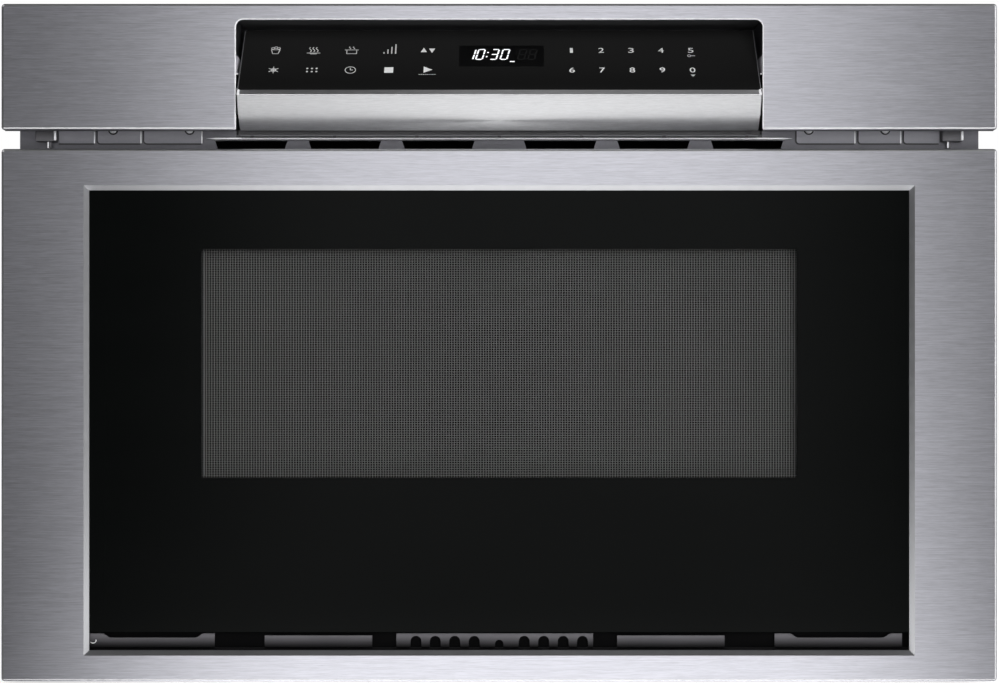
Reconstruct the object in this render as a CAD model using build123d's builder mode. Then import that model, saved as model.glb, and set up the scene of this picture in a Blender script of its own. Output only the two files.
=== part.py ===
from build123d import *
import math
import os

# A built-in microwave oven whose heating tray slides out like a drawer.
# Millimetres. +X is the user's right, the front faces -Y and +Z is up. The base stands on Z = 0.
# A "depth" is counted back from the front plane of the steel panels, which lies at FRONT_Y.

# ---------------------------------------------------------------- driving sizes
FRONT_Y = -295.233

TRIM_HALF = 379.4  # half the width of the steel panels
BODY_HALF = 359.0  # half the width of the cabinet
FLANGE_HALF = 371.5  # half the width of the bulkhead, whose edges are the mounting flange
BULKHEAD = (30.0, 31.5)  # depths of the bulkhead's two faces
BULKHEAD_TOP = 519.2
BACK = (588.8, 590.0)  # depths of the back panel's two faces
BODY_TOP = (516.0, 517.2)
SHEET = 1.2

DRAWER_FRONT_Z = (4.0, 409.8)
DRAWER_FRONT_DEEP = 28.0
WINDOW_HALF = 313.0  # clear opening in the drawer's steel frame
WINDOW_Z = (27.3, 378.4)
WINDOW_BEVEL = 3.6
FRAME_THICK = 4.5
GLASS_LOW = 40.5

FASCIA_Z = (424.1, 520.4)
FASCIA_OPENING_HALF = 200.6
FASCIA_OPENING_TOP = 508.2
FASCIA_OPENING_CORNER = 5.5

# The control panel, in its own frame: u runs back from its face, v up along it, and the pivot is at 0, 0.
# Shut, the face is upright and flush with the fascia. At rest it lies tipped open by OPEN_ANGLE.
PIVOT = (23.7, 449.5)  # depth and height
OPEN_ANGLE = 45.0
PANEL_HALF = 199.0
PANEL_FACE_U = -23.7
PANEL_TOP_V = 57.3
PANEL_BOTTOM_V = -23.3
LEDGE = 6.6  # the plain strip under the glass
NOSE_END = (11.9, -22.8)  # where the rounded nose meets the housing's back
NOSE_BULGE = 4.0
NOSE_THICK = 2.0
PANEL_GLASS = 3.0
PANEL_CORNER = 3.5
PIN_RADIUS = 4.0
RUNNING_GAP = 0.05

LINER_HALF = 203.5
LINER_WALL = 2.0
LINER_BACK = 84.0
LINER_ROOF = 512.3
LINER_FLOOR = 420.9
HINGE_PLATE_X = (201.5, 203.5)

CAVITY_HALF = 226.0
CAVITY_Z = (126.0, 345.0)
CAVITY_BACK = 522.0
MOUTH_Z = (120.0, 352.0)
MOUTH_HALF = 231.0

TUB_HALF = 219.0
TUB_DEPTH = (46.0, 486.0)
TUB_FLOOR = (131.0, 133.0)
TUB_TOP = 316.0
TUB_WALL = 1.5
TRAY_THICK = 5.0

SLIDE_X = 275.0  # outer face of each slide
SLIDE_Z = (50.0, 95.0)
SLIDE_BACK = 486.0
SLIDE_SHEET = 1.5
SLIDE_SLOT_X = (258.0, 278.0)
SLIDE_SLOT_Z = (46.0, 99.0)

RACK_X = (252.0, 262.5)
RACK_PITCH_Z = 62.0
RACK_BACK = 464.0
DRIVE_MODULE = 2.0
DRIVE_TEETH = 16
DRIVE_DEPTH = 70.0
DRIVE_BACKLASH = 0.5

TILT_MODULE = 1.0
SECTOR_TEETH = 36
TILT_TEETH = 12
TILT_BACKLASH = 0.3
SECTOR_X = (206.5, 211.5)
PRESSURE_ANGLE = math.radians(20.0)
TOOTH_TIP = 0.85  # the tooth's reach past the pitch line, in modules
TOOTH_ROOT = 1.15
FLANK_RELIEF = 0.8  # the root is a little narrower than a straight flank would make it

STIRRER = (0.0, 270.0)  # X and depth of the stirrer's axis
MAGNETRON = (175.0, 270.0)
DOME_TOP = 368.2
GUIDE_TOP = 408.2
SHAFT = 3.0
FAN = (200.0, 440.0)  # X and Z of the fan's axis
FAN_DEPTH = (562.0, 588.8)

SCREW_X = (239.8, 299.0)  # the screws that show under the fascia
SCREW_Z = 427.0
FLANGE_SCREW_X = 365.5
FLANGE_SCREW_Z = (60.0, 460.0)


# ---------------------------------------------------------------- helpers
def middle(span):
    return (span[0] + span[1]) / 2


def length(span):
    return abs(span[1] - span[0])


def front_plane(depth):
    """A sketch plane parallel to the front: X across, Z up. A negative extrusion goes back."""
    return Plane(origin=(0, FRONT_Y + depth, 0), x_dir=(1, 0, 0), z_dir=(0, -1, 0))


def side_plane(x):
    """A sketch plane seen from the right: depth across, Z up. An extrusion goes to +X."""
    return Plane(origin=(x, FRONT_Y, 0), x_dir=(0, 1, 0), z_dir=(1, 0, 0))


def plan_plane(z):
    """A level sketch plane: X across, depth up the page. An extrusion goes up."""
    return Plane(origin=(0, FRONT_Y, z), x_dir=(1, 0, 0), z_dir=(0, 0, 1))


def panel_plane(x):
    """The control panel's own frame at rest: u across, v up. An extrusion goes to +X."""
    angle = math.radians(OPEN_ANGLE)
    origin = (x, FRONT_Y + PIVOT[0], PIVOT[1])
    return Plane(origin=origin, x_dir=(0, math.cos(angle), -math.sin(angle)), z_dir=(1, 0, 0))


def area(across, up, mode=Mode.ADD):
    """A rectangle that fills two spans of the sketch."""
    with Locations((middle(across), middle(up))):
        Rectangle(length(across), length(up), mode=mode)


def block(x_span, depth_span, z_span, mode=Mode.ADD):
    """A box that fills three spans."""
    with Locations((middle(x_span), FRONT_Y + middle(depth_span), middle(z_span))):
        Box(length(x_span), length(depth_span), length(z_span), mode=mode)


def both_sides(span):
    """The same span of X on the right and, mirrored, on the left."""
    return span, (-span[1], -span[0])


def mirrored(x_span, side):
    """A span of X on the right (side 1) or on the left (side -1)."""
    return tuple(sorted(side * x for x in x_span))


def bar_x(x_span, depth, z, radius, mode=Mode.ADD):
    """A round bar along X."""
    with BuildSketch(side_plane(min(x_span))) as disc:
        with Locations((depth, z)):
            Circle(radius)
    extrude(disc.sketch, amount=length(x_span), mode=mode)


def bar_y(x, depth_span, z, radius, mode=Mode.ADD):
    """A round bar along the depth."""
    with BuildSketch(front_plane(max(depth_span))) as disc:
        with Locations((x, z)):
            Circle(radius)
    extrude(disc.sketch, amount=length(depth_span), mode=mode)


def bar_z(x, depth, z_span, radius, mode=Mode.ADD):
    """A round upright bar."""
    with BuildSketch(plan_plane(min(z_span))) as disc:
        with Locations((x, depth)):
            Circle(radius)
    extrude(disc.sketch, amount=length(z_span), mode=mode)


def tooth(module, backlash):
    """A gear tooth's tip and root distances from the pitch line, and its half widths there."""
    half = math.pi * module / 4 - backlash / 2
    tip = TOOTH_TIP * module
    root = TOOTH_ROOT * module
    slope = math.tan(PRESSURE_ANGLE)
    return tip, root, half - tip * slope, half + root * slope * FLANK_RELIEF


def gear_outline(teeth, module, backlash, phase):
    """The corners of a straight-sided spur gear. The first tooth's middle is at the angle phase."""
    tip, root, tip_half, root_half = tooth(module, backlash)
    pitch = teeth * module / 2
    corners = []
    for number in range(teeth):
        centre = phase + number * 2 * math.pi / teeth
        for radius, half in (
            (pitch - root, -root_half),
            (pitch + tip, -tip_half),
            (pitch + tip, tip_half),
            (pitch - root, root_half),
        ):
            angle = centre + half / radius
            corners.append((radius * math.cos(angle), radius * math.sin(angle)))
    return corners


def save(piece, name):
    """Label a finished piece and write it to its own file."""
    piece.part.label = name
    export_step(piece.part, f"parts/{name}.step")


# ---------------------------------------------------------------- cabinet
def make_base_plate():
    with BuildPart() as base_plate:
        with BuildSketch(plan_plane(0)):
            area((-BODY_HALF, BODY_HALF), (BULKHEAD[1], BACK[1]))
            with Locations((0, 540)):
                with GridLocations(40, 14, 6, 4):
                    SlotOverall(30, 5, mode=Mode.SUBTRACT)
        extrude(amount=SHEET)
        # a low fold along the front edge, screwed to the bulkhead
        block((-BODY_HALF + 2, BODY_HALF - 2), (BULKHEAD[1], BULKHEAD[1] + SHEET), (SHEET, 20))
    save(base_plate, "base_plate")


def make_side_panel(side, name):
    """A pressed side: a web with folds along its top and bottom, and a row of vent slots."""
    web = (BODY_HALF - SHEET, BODY_HALF)
    fold = (BODY_HALF - 14, BODY_HALF)
    depths = (BULKHEAD[1] + SHEET, BACK[0])
    with BuildPart() as side_panel:
        block(mirrored(web, side), depths, (SHEET, BODY_TOP[0]))
        block(mirrored(fold, side), depths, (SHEET, 2 * SHEET))
        block(mirrored(fold, side), depths, (BODY_TOP[0] - SHEET, BODY_TOP[0]))
        with BuildSketch(side_plane(min(mirrored(web, side)))):
            with Locations((470, 440)):
                with GridLocations(14, 60, 9, 2):
                    SlotOverall(44, 5, rotation=90)
        extrude(amount=SHEET, mode=Mode.SUBTRACT)
    save(side_panel, name)


def make_top_cover():
    with BuildPart() as top_cover:
        block((-BODY_HALF, BODY_HALF), (BULKHEAD[1], BACK[1]), BODY_TOP)
        # two raised pads stiffen the sheet
        for x_span in both_sides((40, 320)):
            with BuildSketch(plan_plane(BODY_TOP[1])):
                with Locations((middle(x_span), 310)):
                    RectangleRounded(length(x_span), 440, 20)
            extrude(amount=1.5, taper=30)
        with BuildSketch(plan_plane(BODY_TOP[0])):
            with Locations((0, 500)):
                with GridLocations(0, 14, 1, 6):
                    SlotOverall(50, 5)
        extrude(amount=SHEET, mode=Mode.SUBTRACT)
    save(top_cover, "top_cover")


def make_back_panel():
    with BuildPart() as back_panel:
        block((-BODY_HALF, BODY_HALF), BACK, (SHEET, BODY_TOP[0]))
        bar_y(-300, BACK, 60, 9.0, Mode.SUBTRACT)
        # the fan's intake is a round field of slots
        with BuildSketch(front_plane(BACK[0])):
            with Locations(FAN):
                with GridLocations(0, 12, 1, 7):
                    SlotOverall(70, 5)
            with Locations((-60, 440)):
                with GridLocations(60, 12, 3, 5):
                    SlotOverall(46, 5)
        extrude(amount=-SHEET, mode=Mode.SUBTRACT)
    save(back_panel, "back_panel")


VENT_SLOT_X = (47.2, 119.7, 192.2)
VENT_SLOT_TOP = 418.8
VENT_SLOT_LOW = 404.0
VENT_SLOT_HALF = 28.2
RAISED_PADS = ((229.8, 276.5), (277.4, 311.9), (312.8, 341.0))
PAD_Z = (416.3, 480.0)
LIP_HALF = 226.7
LIP_Z = (419.7, 420.7)


def make_front_bulkhead():
    """The upright plate that everything at the front hangs on. Its side edges are the mounting flange."""
    with BuildPart() as front_bulkhead:
        with BuildSketch(front_plane(BULKHEAD[0])):
            area((-FLANGE_HALF, FLANGE_HALF), (DRAWER_FRONT_Z[0], BULKHEAD_TOP))
            area((-MOUTH_HALF, MOUTH_HALF), MOUTH_Z, Mode.SUBTRACT)
            area((-214, 214), (LINER_FLOOR, BODY_TOP[0]), Mode.SUBTRACT)
            area((246, SLIDE_SLOT_X[1]), SLIDE_SLOT_Z, Mode.SUBTRACT)
            area((-SLIDE_SLOT_X[1], -SLIDE_SLOT_X[0]), SLIDE_SLOT_Z, Mode.SUBTRACT)
            for x_span in both_sides(LATCH_SLOT_X):
                area(x_span, LATCH_SLOT_Z, Mode.SUBTRACT)
            for x in VENT_SLOT_X:
                for side in (-1, 1):
                    with Locations((side * x, VENT_SLOT_TOP)):
                        height = VENT_SLOT_TOP - VENT_SLOT_LOW
                        Polygon(
                            (-VENT_SLOT_HALF, 0),
                            (VENT_SLOT_HALF, 0),
                            (VENT_SLOT_HALF - 5, -height),
                            (5 - VENT_SLOT_HALF, -height),
                            align=None,
                            mode=Mode.SUBTRACT,
                        )
            with Locations((0, middle(FLANGE_SCREW_Z))):
                with GridLocations(2 * FLANGE_SCREW_X, length(FLANGE_SCREW_Z), 2, 2):
                    Circle(2.5, mode=Mode.SUBTRACT)
        extrude(amount=-length(BULKHEAD))
        # pads pressed forward beside the vent slots, with rounded lower corners
        for pad in RAISED_PADS:
            for x_span in both_sides(pad):
                with BuildSketch(front_plane(BULKHEAD[0])):
                    with Locations((middle(x_span), middle(PAD_Z))):
                        RectangleRounded(length(x_span), length(PAD_Z), 4)
                extrude(amount=1.2)
        # a small raised tab between the two middle slots
        block((-13.5, 13.5), (28.6, BULKHEAD[0]), (415.5, 419.0))
        # the louvre's lip, drawn in towards its ends
        with BuildSketch(plan_plane(LIP_Z[0])):
            Polygon(
                (-LIP_HALF, BULKHEAD[0]),
                (-LIP_HALF + 8, 26.8),
                (LIP_HALF - 8, 26.8),
                (LIP_HALF, BULKHEAD[0]),
                align=None,
            )
        extrude(amount=length(LIP_Z))
    save(front_bulkhead, "front_bulkhead")


def make_fascia():
    """The upper steel panel: one folded sheet with a notch for the control panel."""
    with BuildPart() as fascia:
        with BuildSketch(front_plane(0)):
            area((-TRIM_HALF, TRIM_HALF), FASCIA_Z)
            with Locations((0, FASCIA_Z[0])):
                height = 2 * (FASCIA_OPENING_TOP - FASCIA_Z[0])
                RectangleRounded(
                    2 * FASCIA_OPENING_HALF, height, FASCIA_OPENING_CORNER, mode=Mode.SUBTRACT
                )
        extrude(amount=-SHEET)
        top = (FASCIA_Z[1] - SHEET, FASCIA_Z[1])
        block((-TRIM_HALF, TRIM_HALF), (SHEET, 33), top)
        for x_span in both_sides((TRIM_HALF - SHEET, TRIM_HALF)):
            block(x_span, (SHEET, 24), (FASCIA_Z[0], top[0]))
        for x_span in both_sides((FASCIA_OPENING_HALF + 4, TRIM_HALF - SHEET)):
            block(x_span, (SHEET, 5), (FASCIA_Z[0], FASCIA_Z[0] + SHEET))
        outer_rim = fascia.edges().filter_by(
            lambda edge: edge.center().Y < FRONT_Y + 0.01
            and (abs(edge.center().X) > TRIM_HALF - 1 or edge.center().Z > FASCIA_Z[1] - 1)
        )
        fillet(outer_rim, 0.8)
    save(fascia, "fascia")


def make_corner_blocks():
    """Two moulded stops beside the pads, each with a short pin that points down."""
    with BuildPart() as corner_blocks:
        for side in (-1, 1):
            block(mirrored((341.6, 357.5), side), (20, BULKHEAD[0]), (417.3, 452))
            bar_z(side * 347.4, 25, (412.2, 417.3), 1.7)
    save(corner_blocks, "corner_blocks")


def make_cabinet_screws():
    """Pan heads: four on the bulkhead under the fascia, and six on the top cover."""
    with BuildPart() as cabinet_screws:
        for x in SCREW_X:
            for side in (-1, 1):
                bar_y(side * x, (26.8, 28.8), SCREW_Z, 3.6)
        for x in (-345, 0, 345):
            for depth in (60, 570):
                bar_z(x, depth, (BODY_TOP[1], BODY_TOP[1] + 2), 3.6)
    save(cabinet_screws, "cabinet_screws")


def make_cord_gland():
    """The grommet that the supply lead leaves through."""
    with BuildPart() as cord_gland:
        bar_y(-300, (580, 600), 60, 9.0)
        bar_y(-300, (BACK[1], 593), 60, 13.0)
        bar_y(-300, (584, BACK[0]), 60, 12.0)
        bar_y(-300, (580, 600), 60, 5.0, Mode.SUBTRACT)
    save(cord_gland, "cord_gland")


# ---------------------------------------------------------------- recess and tilt drive
def make_recess_liner():
    """The moulded box behind the fascia that the control panel swings in, open to the front."""
    side = (LINER_HALF, LINER_HALF + LINER_WALL)
    with BuildPart() as recess_liner:
        roof = (LINER_ROOF, LINER_ROOF + LINER_WALL)
        whole = (-side[1], side[1])
        block(whole, (SHEET, LINER_BACK + LINER_WALL), roof)
        block(whole, (LINER_BACK, LINER_BACK + LINER_WALL), (LINER_FLOOR, roof[0]))
        block(whole, (BULKHEAD[1], LINER_BACK), (LINER_FLOOR, LINER_FLOOR + 1.8))
        block((-LINER_HALF, LINER_HALF), (27, BULKHEAD[1]), (LINER_FLOOR, LINER_FLOOR + 1.8))
        for x_span in both_sides(side):
            block(x_span, (SHEET, LINER_BACK), (FASCIA_Z[0] + 2, roof[0]))
            block(x_span, (BULKHEAD[1], LINER_BACK), (LINER_FLOOR + 1.8, FASCIA_Z[0] + 2))
        for x_span in both_sides((side[1], 213)):
            block(x_span, (SHEET, SHEET + LINER_WALL), (440, 500))
        for x_span in both_sides(side):
            bar_x(x_span, PIVOT[0], PIVOT[1], 6.0, Mode.SUBTRACT)
    save(recess_liner, "recess_liner")


def make_hinge_plate(side, name):
    """The steel plate that carries one of the control panel's pins."""
    with BuildPart() as hinge_plate:
        with BuildSketch(side_plane(min(mirrored(HINGE_PLATE_X, side)))):
            area((8, 60), (438, 482))
            with Locations(PIVOT):
                Circle(PIN_RADIUS + RUNNING_GAP, mode=Mode.SUBTRACT)
            with Locations((46, 468), (46, 450)):
                Circle(2.2, mode=Mode.SUBTRACT)
        extrude(amount=length(HINGE_PLATE_X))
        corners = hinge_plate.edges().filter_by(Axis.X).filter_by(GeomType.LINE)
        fillet(corners, 4)
    save(hinge_plate, name)


TILT_CENTRE_DEPTH = PIVOT[0] + TILT_MODULE * (SECTOR_TEETH + TILT_TEETH) / 2


def make_tilt_pinion():
    space_phase = math.pi + math.pi / TILT_TEETH  # a gap between teeth faces the sector
    with BuildPart() as tilt_pinion:
        with BuildSketch(side_plane(SECTOR_X[0])):
            with Locations((TILT_CENTRE_DEPTH, PIVOT[1])):
                Polygon(*gear_outline(TILT_TEETH, TILT_MODULE, TILT_BACKLASH, space_phase), align=None)
        extrude(amount=length(SECTOR_X))
        bar_x((SECTOR_X[1], 224), TILT_CENTRE_DEPTH, PIVOT[1], SHAFT)
    save(tilt_pinion, "tilt_pinion")


def make_tilt_motor():
    """A small gear motor behind the bulkhead that tips the control panel."""
    with BuildPart() as tilt_motor:
        block((215, 222), (BULKHEAD[1], 66), (430, 470))
        bar_x((222, 246), TILT_CENTRE_DEPTH, PIVOT[1], 15)
        bar_x((246, 252), TILT_CENTRE_DEPTH, PIVOT[1], 5)
        bar_x((215, 226), TILT_CENTRE_DEPTH, PIVOT[1], SHAFT + RUNNING_GAP, Mode.SUBTRACT)
    save(tilt_motor, "tilt_motor")


# ---------------------------------------------------------------- control panel
def make_panel_housing():
    """A hollow wedge behind the glass, with a pivot pin on each end."""
    back_u = PANEL_FACE_U + PANEL_GLASS
    floor_v = PANEL_BOTTOM_V + 2.5
    wall = 2.0
    with BuildPart() as panel_housing:
        with BuildSketch(panel_plane(-PANEL_HALF)):
            with BuildLine():
                Polyline(
                    (back_u, PANEL_TOP_V - 0.8),
                    (back_u, floor_v),
                    (NOSE_END[0], floor_v),
                    (NOSE_END[0], floor_v + 7),
                    (back_u + 4.5, PANEL_TOP_V - 0.8),
                    close=True,
                )
            make_face()
        extrude(amount=2 * PANEL_HALF)
        with BuildSketch(panel_plane(-PANEL_HALF + wall)):
            with BuildLine():
                Polyline(
                    (back_u - 1, PANEL_TOP_V - 0.8 - wall),
                    (back_u - 1, floor_v + wall),
                    (NOSE_END[0] - wall, floor_v + wall),
                    (NOSE_END[0] - wall, floor_v + 6.2),
                    (back_u + 3.2, PANEL_TOP_V - 0.8 - wall),
                    close=True,
                )
            make_face()
        extrude(amount=2 * (PANEL_HALF - wall), mode=Mode.SUBTRACT)
        bar_x((PANEL_HALF - wall, SECTOR_X[1] + 1), PIVOT[0], PIVOT[1], PIN_RADIUS)
        bar_x((-SECTOR_X[0], -PANEL_HALF + wall), PIVOT[0], PIVOT[1], PIN_RADIUS)
    save(panel_housing, "panel_housing")


def make_panel_glass():
    with BuildPart() as panel_glass:
        with BuildSketch(panel_plane(-PANEL_HALF)):
            u_span = (PANEL_FACE_U, PANEL_FACE_U + PANEL_GLASS)
            area(u_span, (PANEL_BOTTOM_V + LEDGE, PANEL_TOP_V))
        extrude(amount=2 * PANEL_HALF)
        top_corners = panel_glass.edges().filter_by(
            lambda edge: abs(edge.length - PANEL_GLASS) < 0.01
            and edge.center().Z > PIVOT[1] + PANEL_TOP_V / 2
        )
        fillet(top_corners, PANEL_CORNER)
    save(panel_glass, "panel_glass")


def make_panel_nose():
    """One aluminium extrusion: the ledge under the glass and the rounded nose that is the pull."""
    inner_u = PANEL_FACE_U + PANEL_GLASS
    middle_u = (PANEL_FACE_U + NOSE_END[0]) / 2
    middle_v = (PANEL_BOTTOM_V + NOSE_END[1]) / 2 - NOSE_BULGE
    with BuildPart() as panel_nose:
        with BuildSketch(panel_plane(-PANEL_HALF)):
            with BuildLine():
                Line((PANEL_FACE_U, PANEL_BOTTOM_V + LEDGE), (PANEL_FACE_U, PANEL_BOTTOM_V))
                ThreePointArc((PANEL_FACE_U, PANEL_BOTTOM_V), (middle_u, middle_v), NOSE_END)
                Line(NOSE_END, (NOSE_END[0], NOSE_END[1] + NOSE_THICK))
                ThreePointArc(
                    (NOSE_END[0], NOSE_END[1] + NOSE_THICK),
                    (middle_u, middle_v + NOSE_THICK),
                    (inner_u, PANEL_BOTTOM_V + NOSE_THICK + 0.2),
                )
                Line(
                    (inner_u, PANEL_BOTTOM_V + NOSE_THICK + 0.2),
                    (inner_u, PANEL_BOTTOM_V + LEDGE),
                )
                Line((inner_u, PANEL_BOTTOM_V + LEDGE), (PANEL_FACE_U, PANEL_BOTTOM_V + LEDGE))
            make_face()
        extrude(amount=2 * PANEL_HALF)
    save(panel_nose, "panel_nose")


def make_panel_board():
    """The touch and display board, on the back of the glass."""
    back_u = PANEL_FACE_U + PANEL_GLASS
    with BuildPart() as panel_board:
        with BuildSketch(panel_plane(-180)):
            area((back_u, back_u + 1.6), (0, 40))
        extrude(amount=360)
        with BuildSketch(panel_plane(-32)):
            area((back_u + 1.6, back_u + 4.0), (10, 32))
        extrude(amount=68)
        with BuildSketch(panel_plane(90)):
            area((back_u + 1.6, back_u + 5.0), (4, 16))
        extrude(amount=24)
    save(panel_board, "panel_board")


def make_sector_gear():
    """A toothed sector on the right pivot pin, turned by the tilt pinion."""
    reach = SECTOR_TEETH * TILT_MODULE
    low = math.radians(-64)
    high = math.radians(18)
    with BuildPart() as sector_gear:
        with BuildSketch(side_plane(SECTOR_X[0])):
            with Locations(PIVOT):
                Polygon(*gear_outline(SECTOR_TEETH, TILT_MODULE, TILT_BACKLASH, 0), align=None)
                Polygon(
                    (0, 0),
                    (reach * math.cos(low), reach * math.sin(low)),
                    (reach * 1.4, 0),
                    (reach * math.cos(high), reach * math.sin(high)),
                    align=None,
                    mode=Mode.INTERSECT,
                )
                Circle(8)
                Circle(PIN_RADIUS, mode=Mode.SUBTRACT)
        extrude(amount=length(SECTOR_X))
    save(sector_gear, "sector_gear")


# ---------------------------------------------------------------- oven
def make_oven_cavity():
    outer_z = (CAVITY_Z[0] - SHEET, CAVITY_Z[1] + SHEET)
    outer_half = CAVITY_HALF + SHEET
    with BuildPart() as oven_cavity:
        block((-outer_half, outer_half), (BULKHEAD[1], CAVITY_BACK + SHEET), outer_z)
        block((-CAVITY_HALF, CAVITY_HALF), (BULKHEAD[1], CAVITY_BACK), CAVITY_Z, Mode.SUBTRACT)
        # a turned-out flange welds the shell to the bulkhead round its mouth
        rim_half = MOUTH_HALF + 8
        with BuildSketch(front_plane(BULKHEAD[1])):
            area((-rim_half, rim_half), (MOUTH_Z[0] - 6, MOUTH_Z[1] + 6))
            area((-CAVITY_HALF, CAVITY_HALF), CAVITY_Z, Mode.SUBTRACT)
        extrude(amount=-SHEET)
        bar_z(STIRRER[0], STIRRER[1], (CAVITY_Z[1], outer_z[1]), 80, Mode.SUBTRACT)
        # small holes let the lamp shine in on the left, and air out on the right
        for side in (-1, 1):
            with BuildSketch(side_plane(min(mirrored((CAVITY_HALF, outer_half), side)))):
                with Locations((265, 320)):
                    with GridLocations(7, 7, 5, 4):
                        Circle(1.9)
            extrude(amount=SHEET, mode=Mode.SUBTRACT)
    save(oven_cavity, "oven_cavity")


def make_stirrer_dome():
    """A round pressing on the cavity's roof that holds the stirrer."""
    base = CAVITY_Z[1] + SHEET
    with BuildPart() as stirrer_dome:
        bar_z(STIRRER[0], STIRRER[1], (base, base + SHEET), 98)
        bar_z(STIRRER[0], STIRRER[1], (base, DOME_TOP), 90)
        bar_z(STIRRER[0], STIRRER[1], (base, DOME_TOP - SHEET), 88.8, Mode.SUBTRACT)
        bar_z(STIRRER[0], STIRRER[1], (DOME_TOP - SHEET, DOME_TOP), 30, Mode.SUBTRACT)
    save(stirrer_dome, "stirrer_dome")


def make_stirrer_cover():
    """The plastic disc in the cavity's roof under the stirrer."""
    with BuildPart() as stirrer_cover:
        bar_z(STIRRER[0], STIRRER[1], (CAVITY_Z[1] - 2, CAVITY_Z[1]), 88)
        rim = stirrer_cover.edges().filter_by(GeomType.CIRCLE).sort_by(Axis.Z)[0]
        chamfer(rim, 1.2)
    save(stirrer_cover, "stirrer_cover")


def make_stirrer_blade():
    """Three flat blades on an upright shaft that hangs from the stirrer motor."""
    blade_z = (353.0, 354.5)
    with BuildPart() as stirrer_blade:
        with BuildSketch(plan_plane(blade_z[0])):
            with Locations(STIRRER):
                with PolarLocations(42, 3):
                    Ellipse(30, 17)
                Circle(18)
        extrude(amount=length(blade_z))
        bar_z(STIRRER[0], STIRRER[1], (350, 420), SHAFT)
        bar_z(STIRRER[0], STIRRER[1], (blade_z[1], 362), 7)
    save(stirrer_blade, "stirrer_blade")


def make_stirrer_motor():
    with BuildPart() as stirrer_motor:
        bar_z(STIRRER[0], STIRRER[1], (GUIDE_TOP, GUIDE_TOP + 16), 25)
        block((-32, 32), (STIRRER[1] - 8, STIRRER[1] + 8), (GUIDE_TOP, GUIDE_TOP + 2))
        bar_z(STIRRER[0], STIRRER[1], (GUIDE_TOP, 421), SHAFT + RUNNING_GAP, Mode.SUBTRACT)
    save(stirrer_motor, "stirrer_motor")


def make_waveguide():
    """A rectangular tube along X from the magnetron to the dome, closed at both ends."""
    outer_x = (-50, 218)
    outer_depth = (232, 308)
    outer_z = (DOME_TOP, GUIDE_TOP)
    with BuildPart() as waveguide:
        block(outer_x, outer_depth, outer_z)
        block(
            (outer_x[0] + SHEET, outer_x[1] - SHEET),
            (outer_depth[0] + SHEET, outer_depth[1] - SHEET),
            (outer_z[0] + SHEET, outer_z[1] - SHEET),
            Mode.SUBTRACT,
        )
        bar_z(STIRRER[0], STIRRER[1], (outer_z[0], outer_z[0] + SHEET), 30, Mode.SUBTRACT)
        bar_z(STIRRER[0], STIRRER[1], (outer_z[1] - SHEET, outer_z[1]), 5, Mode.SUBTRACT)
        bar_z(MAGNETRON[0], MAGNETRON[1], (outer_z[1] - SHEET, outer_z[1]), 13, Mode.SUBTRACT)
    save(waveguide, "waveguide")


MAGNETRON_Z = (411.2, 484.0)


def make_magnetron():
    """The tube with its cooling fins and magnets, turned about its axis. The antenna hangs below."""
    axis_x, axis_depth = MAGNETRON
    with BuildPart() as magnetron:
        bar_z(axis_x, axis_depth, (380, MAGNETRON_Z[0]), 9)
        bar_z(axis_x, axis_depth, MAGNETRON_Z, 19)
        bar_z(axis_x, axis_depth, (MAGNETRON_Z[0], MAGNETRON_Z[0] + 13), 27)
        bar_z(axis_x, axis_depth, (MAGNETRON_Z[1] - 13, MAGNETRON_Z[1]), 27)
        for number in range(5):
            fin_z = MAGNETRON_Z[0] + 18 + number * 9
            bar_z(axis_x, axis_depth, (fin_z, fin_z + 1), 31)
    save(magnetron, "magnetron")


def make_magnetron_frame():
    """The steel yoke round the magnetron, open at the front and back, with its filter box on top."""
    axis_x, axis_depth = MAGNETRON
    yoke_x = (axis_x - 44, axis_x + 43)
    yoke_depth = (axis_depth - 34, axis_depth + 34)
    with BuildPart() as magnetron_frame:
        block(yoke_x, yoke_depth, (GUIDE_TOP, MAGNETRON_Z[1] + 3))
        inner_x = (yoke_x[0] + 2, yoke_x[1] - 2)
        block(inner_x, yoke_depth, MAGNETRON_Z, Mode.SUBTRACT)
        bar_z(axis_x, axis_depth, (GUIDE_TOP, MAGNETRON_Z[0]), 10, Mode.SUBTRACT)
        box_z = (MAGNETRON_Z[1] + 3, 508)
        block((axis_x - 30, axis_x + 30), (axis_depth - 26, axis_depth + 26), box_z)
    save(magnetron_frame, "magnetron_frame")


def make_oven_lamp():
    """The lamp's holder on the cavity's left wall, with its bulb."""
    wall_x = -(CAVITY_HALF + SHEET)
    with BuildPart() as oven_lamp:
        block((wall_x - 3, wall_x), (235, 295), (305, 335))
        bar_x((wall_x - 26, wall_x - 3), 265, 320, 12)
        bar_x((wall_x - 48, wall_x - 26), 265, 320, 9)
    save(oven_lamp, "oven_lamp")


# ---------------------------------------------------------------- supply and cooling
CORE_X = -100.0
CORE_DEPTH = (350.0, 420.0)
CORE_Z = (SHEET, 86.0)


def make_transformer_core():
    centre_z = middle(CORE_Z)
    with BuildPart() as transformer_core:
        with BuildSketch(front_plane(CORE_DEPTH[0])):
            area((CORE_X - 52, CORE_X + 52), CORE_Z)
            for side in (-1, 1):
                window = (CORE_X + side * 17, CORE_X + side * 35)
                area(window, (centre_z - 27, centre_z + 27), Mode.SUBTRACT)
        extrude(amount=-length(CORE_DEPTH))
    save(transformer_core, "transformer_core")


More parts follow.
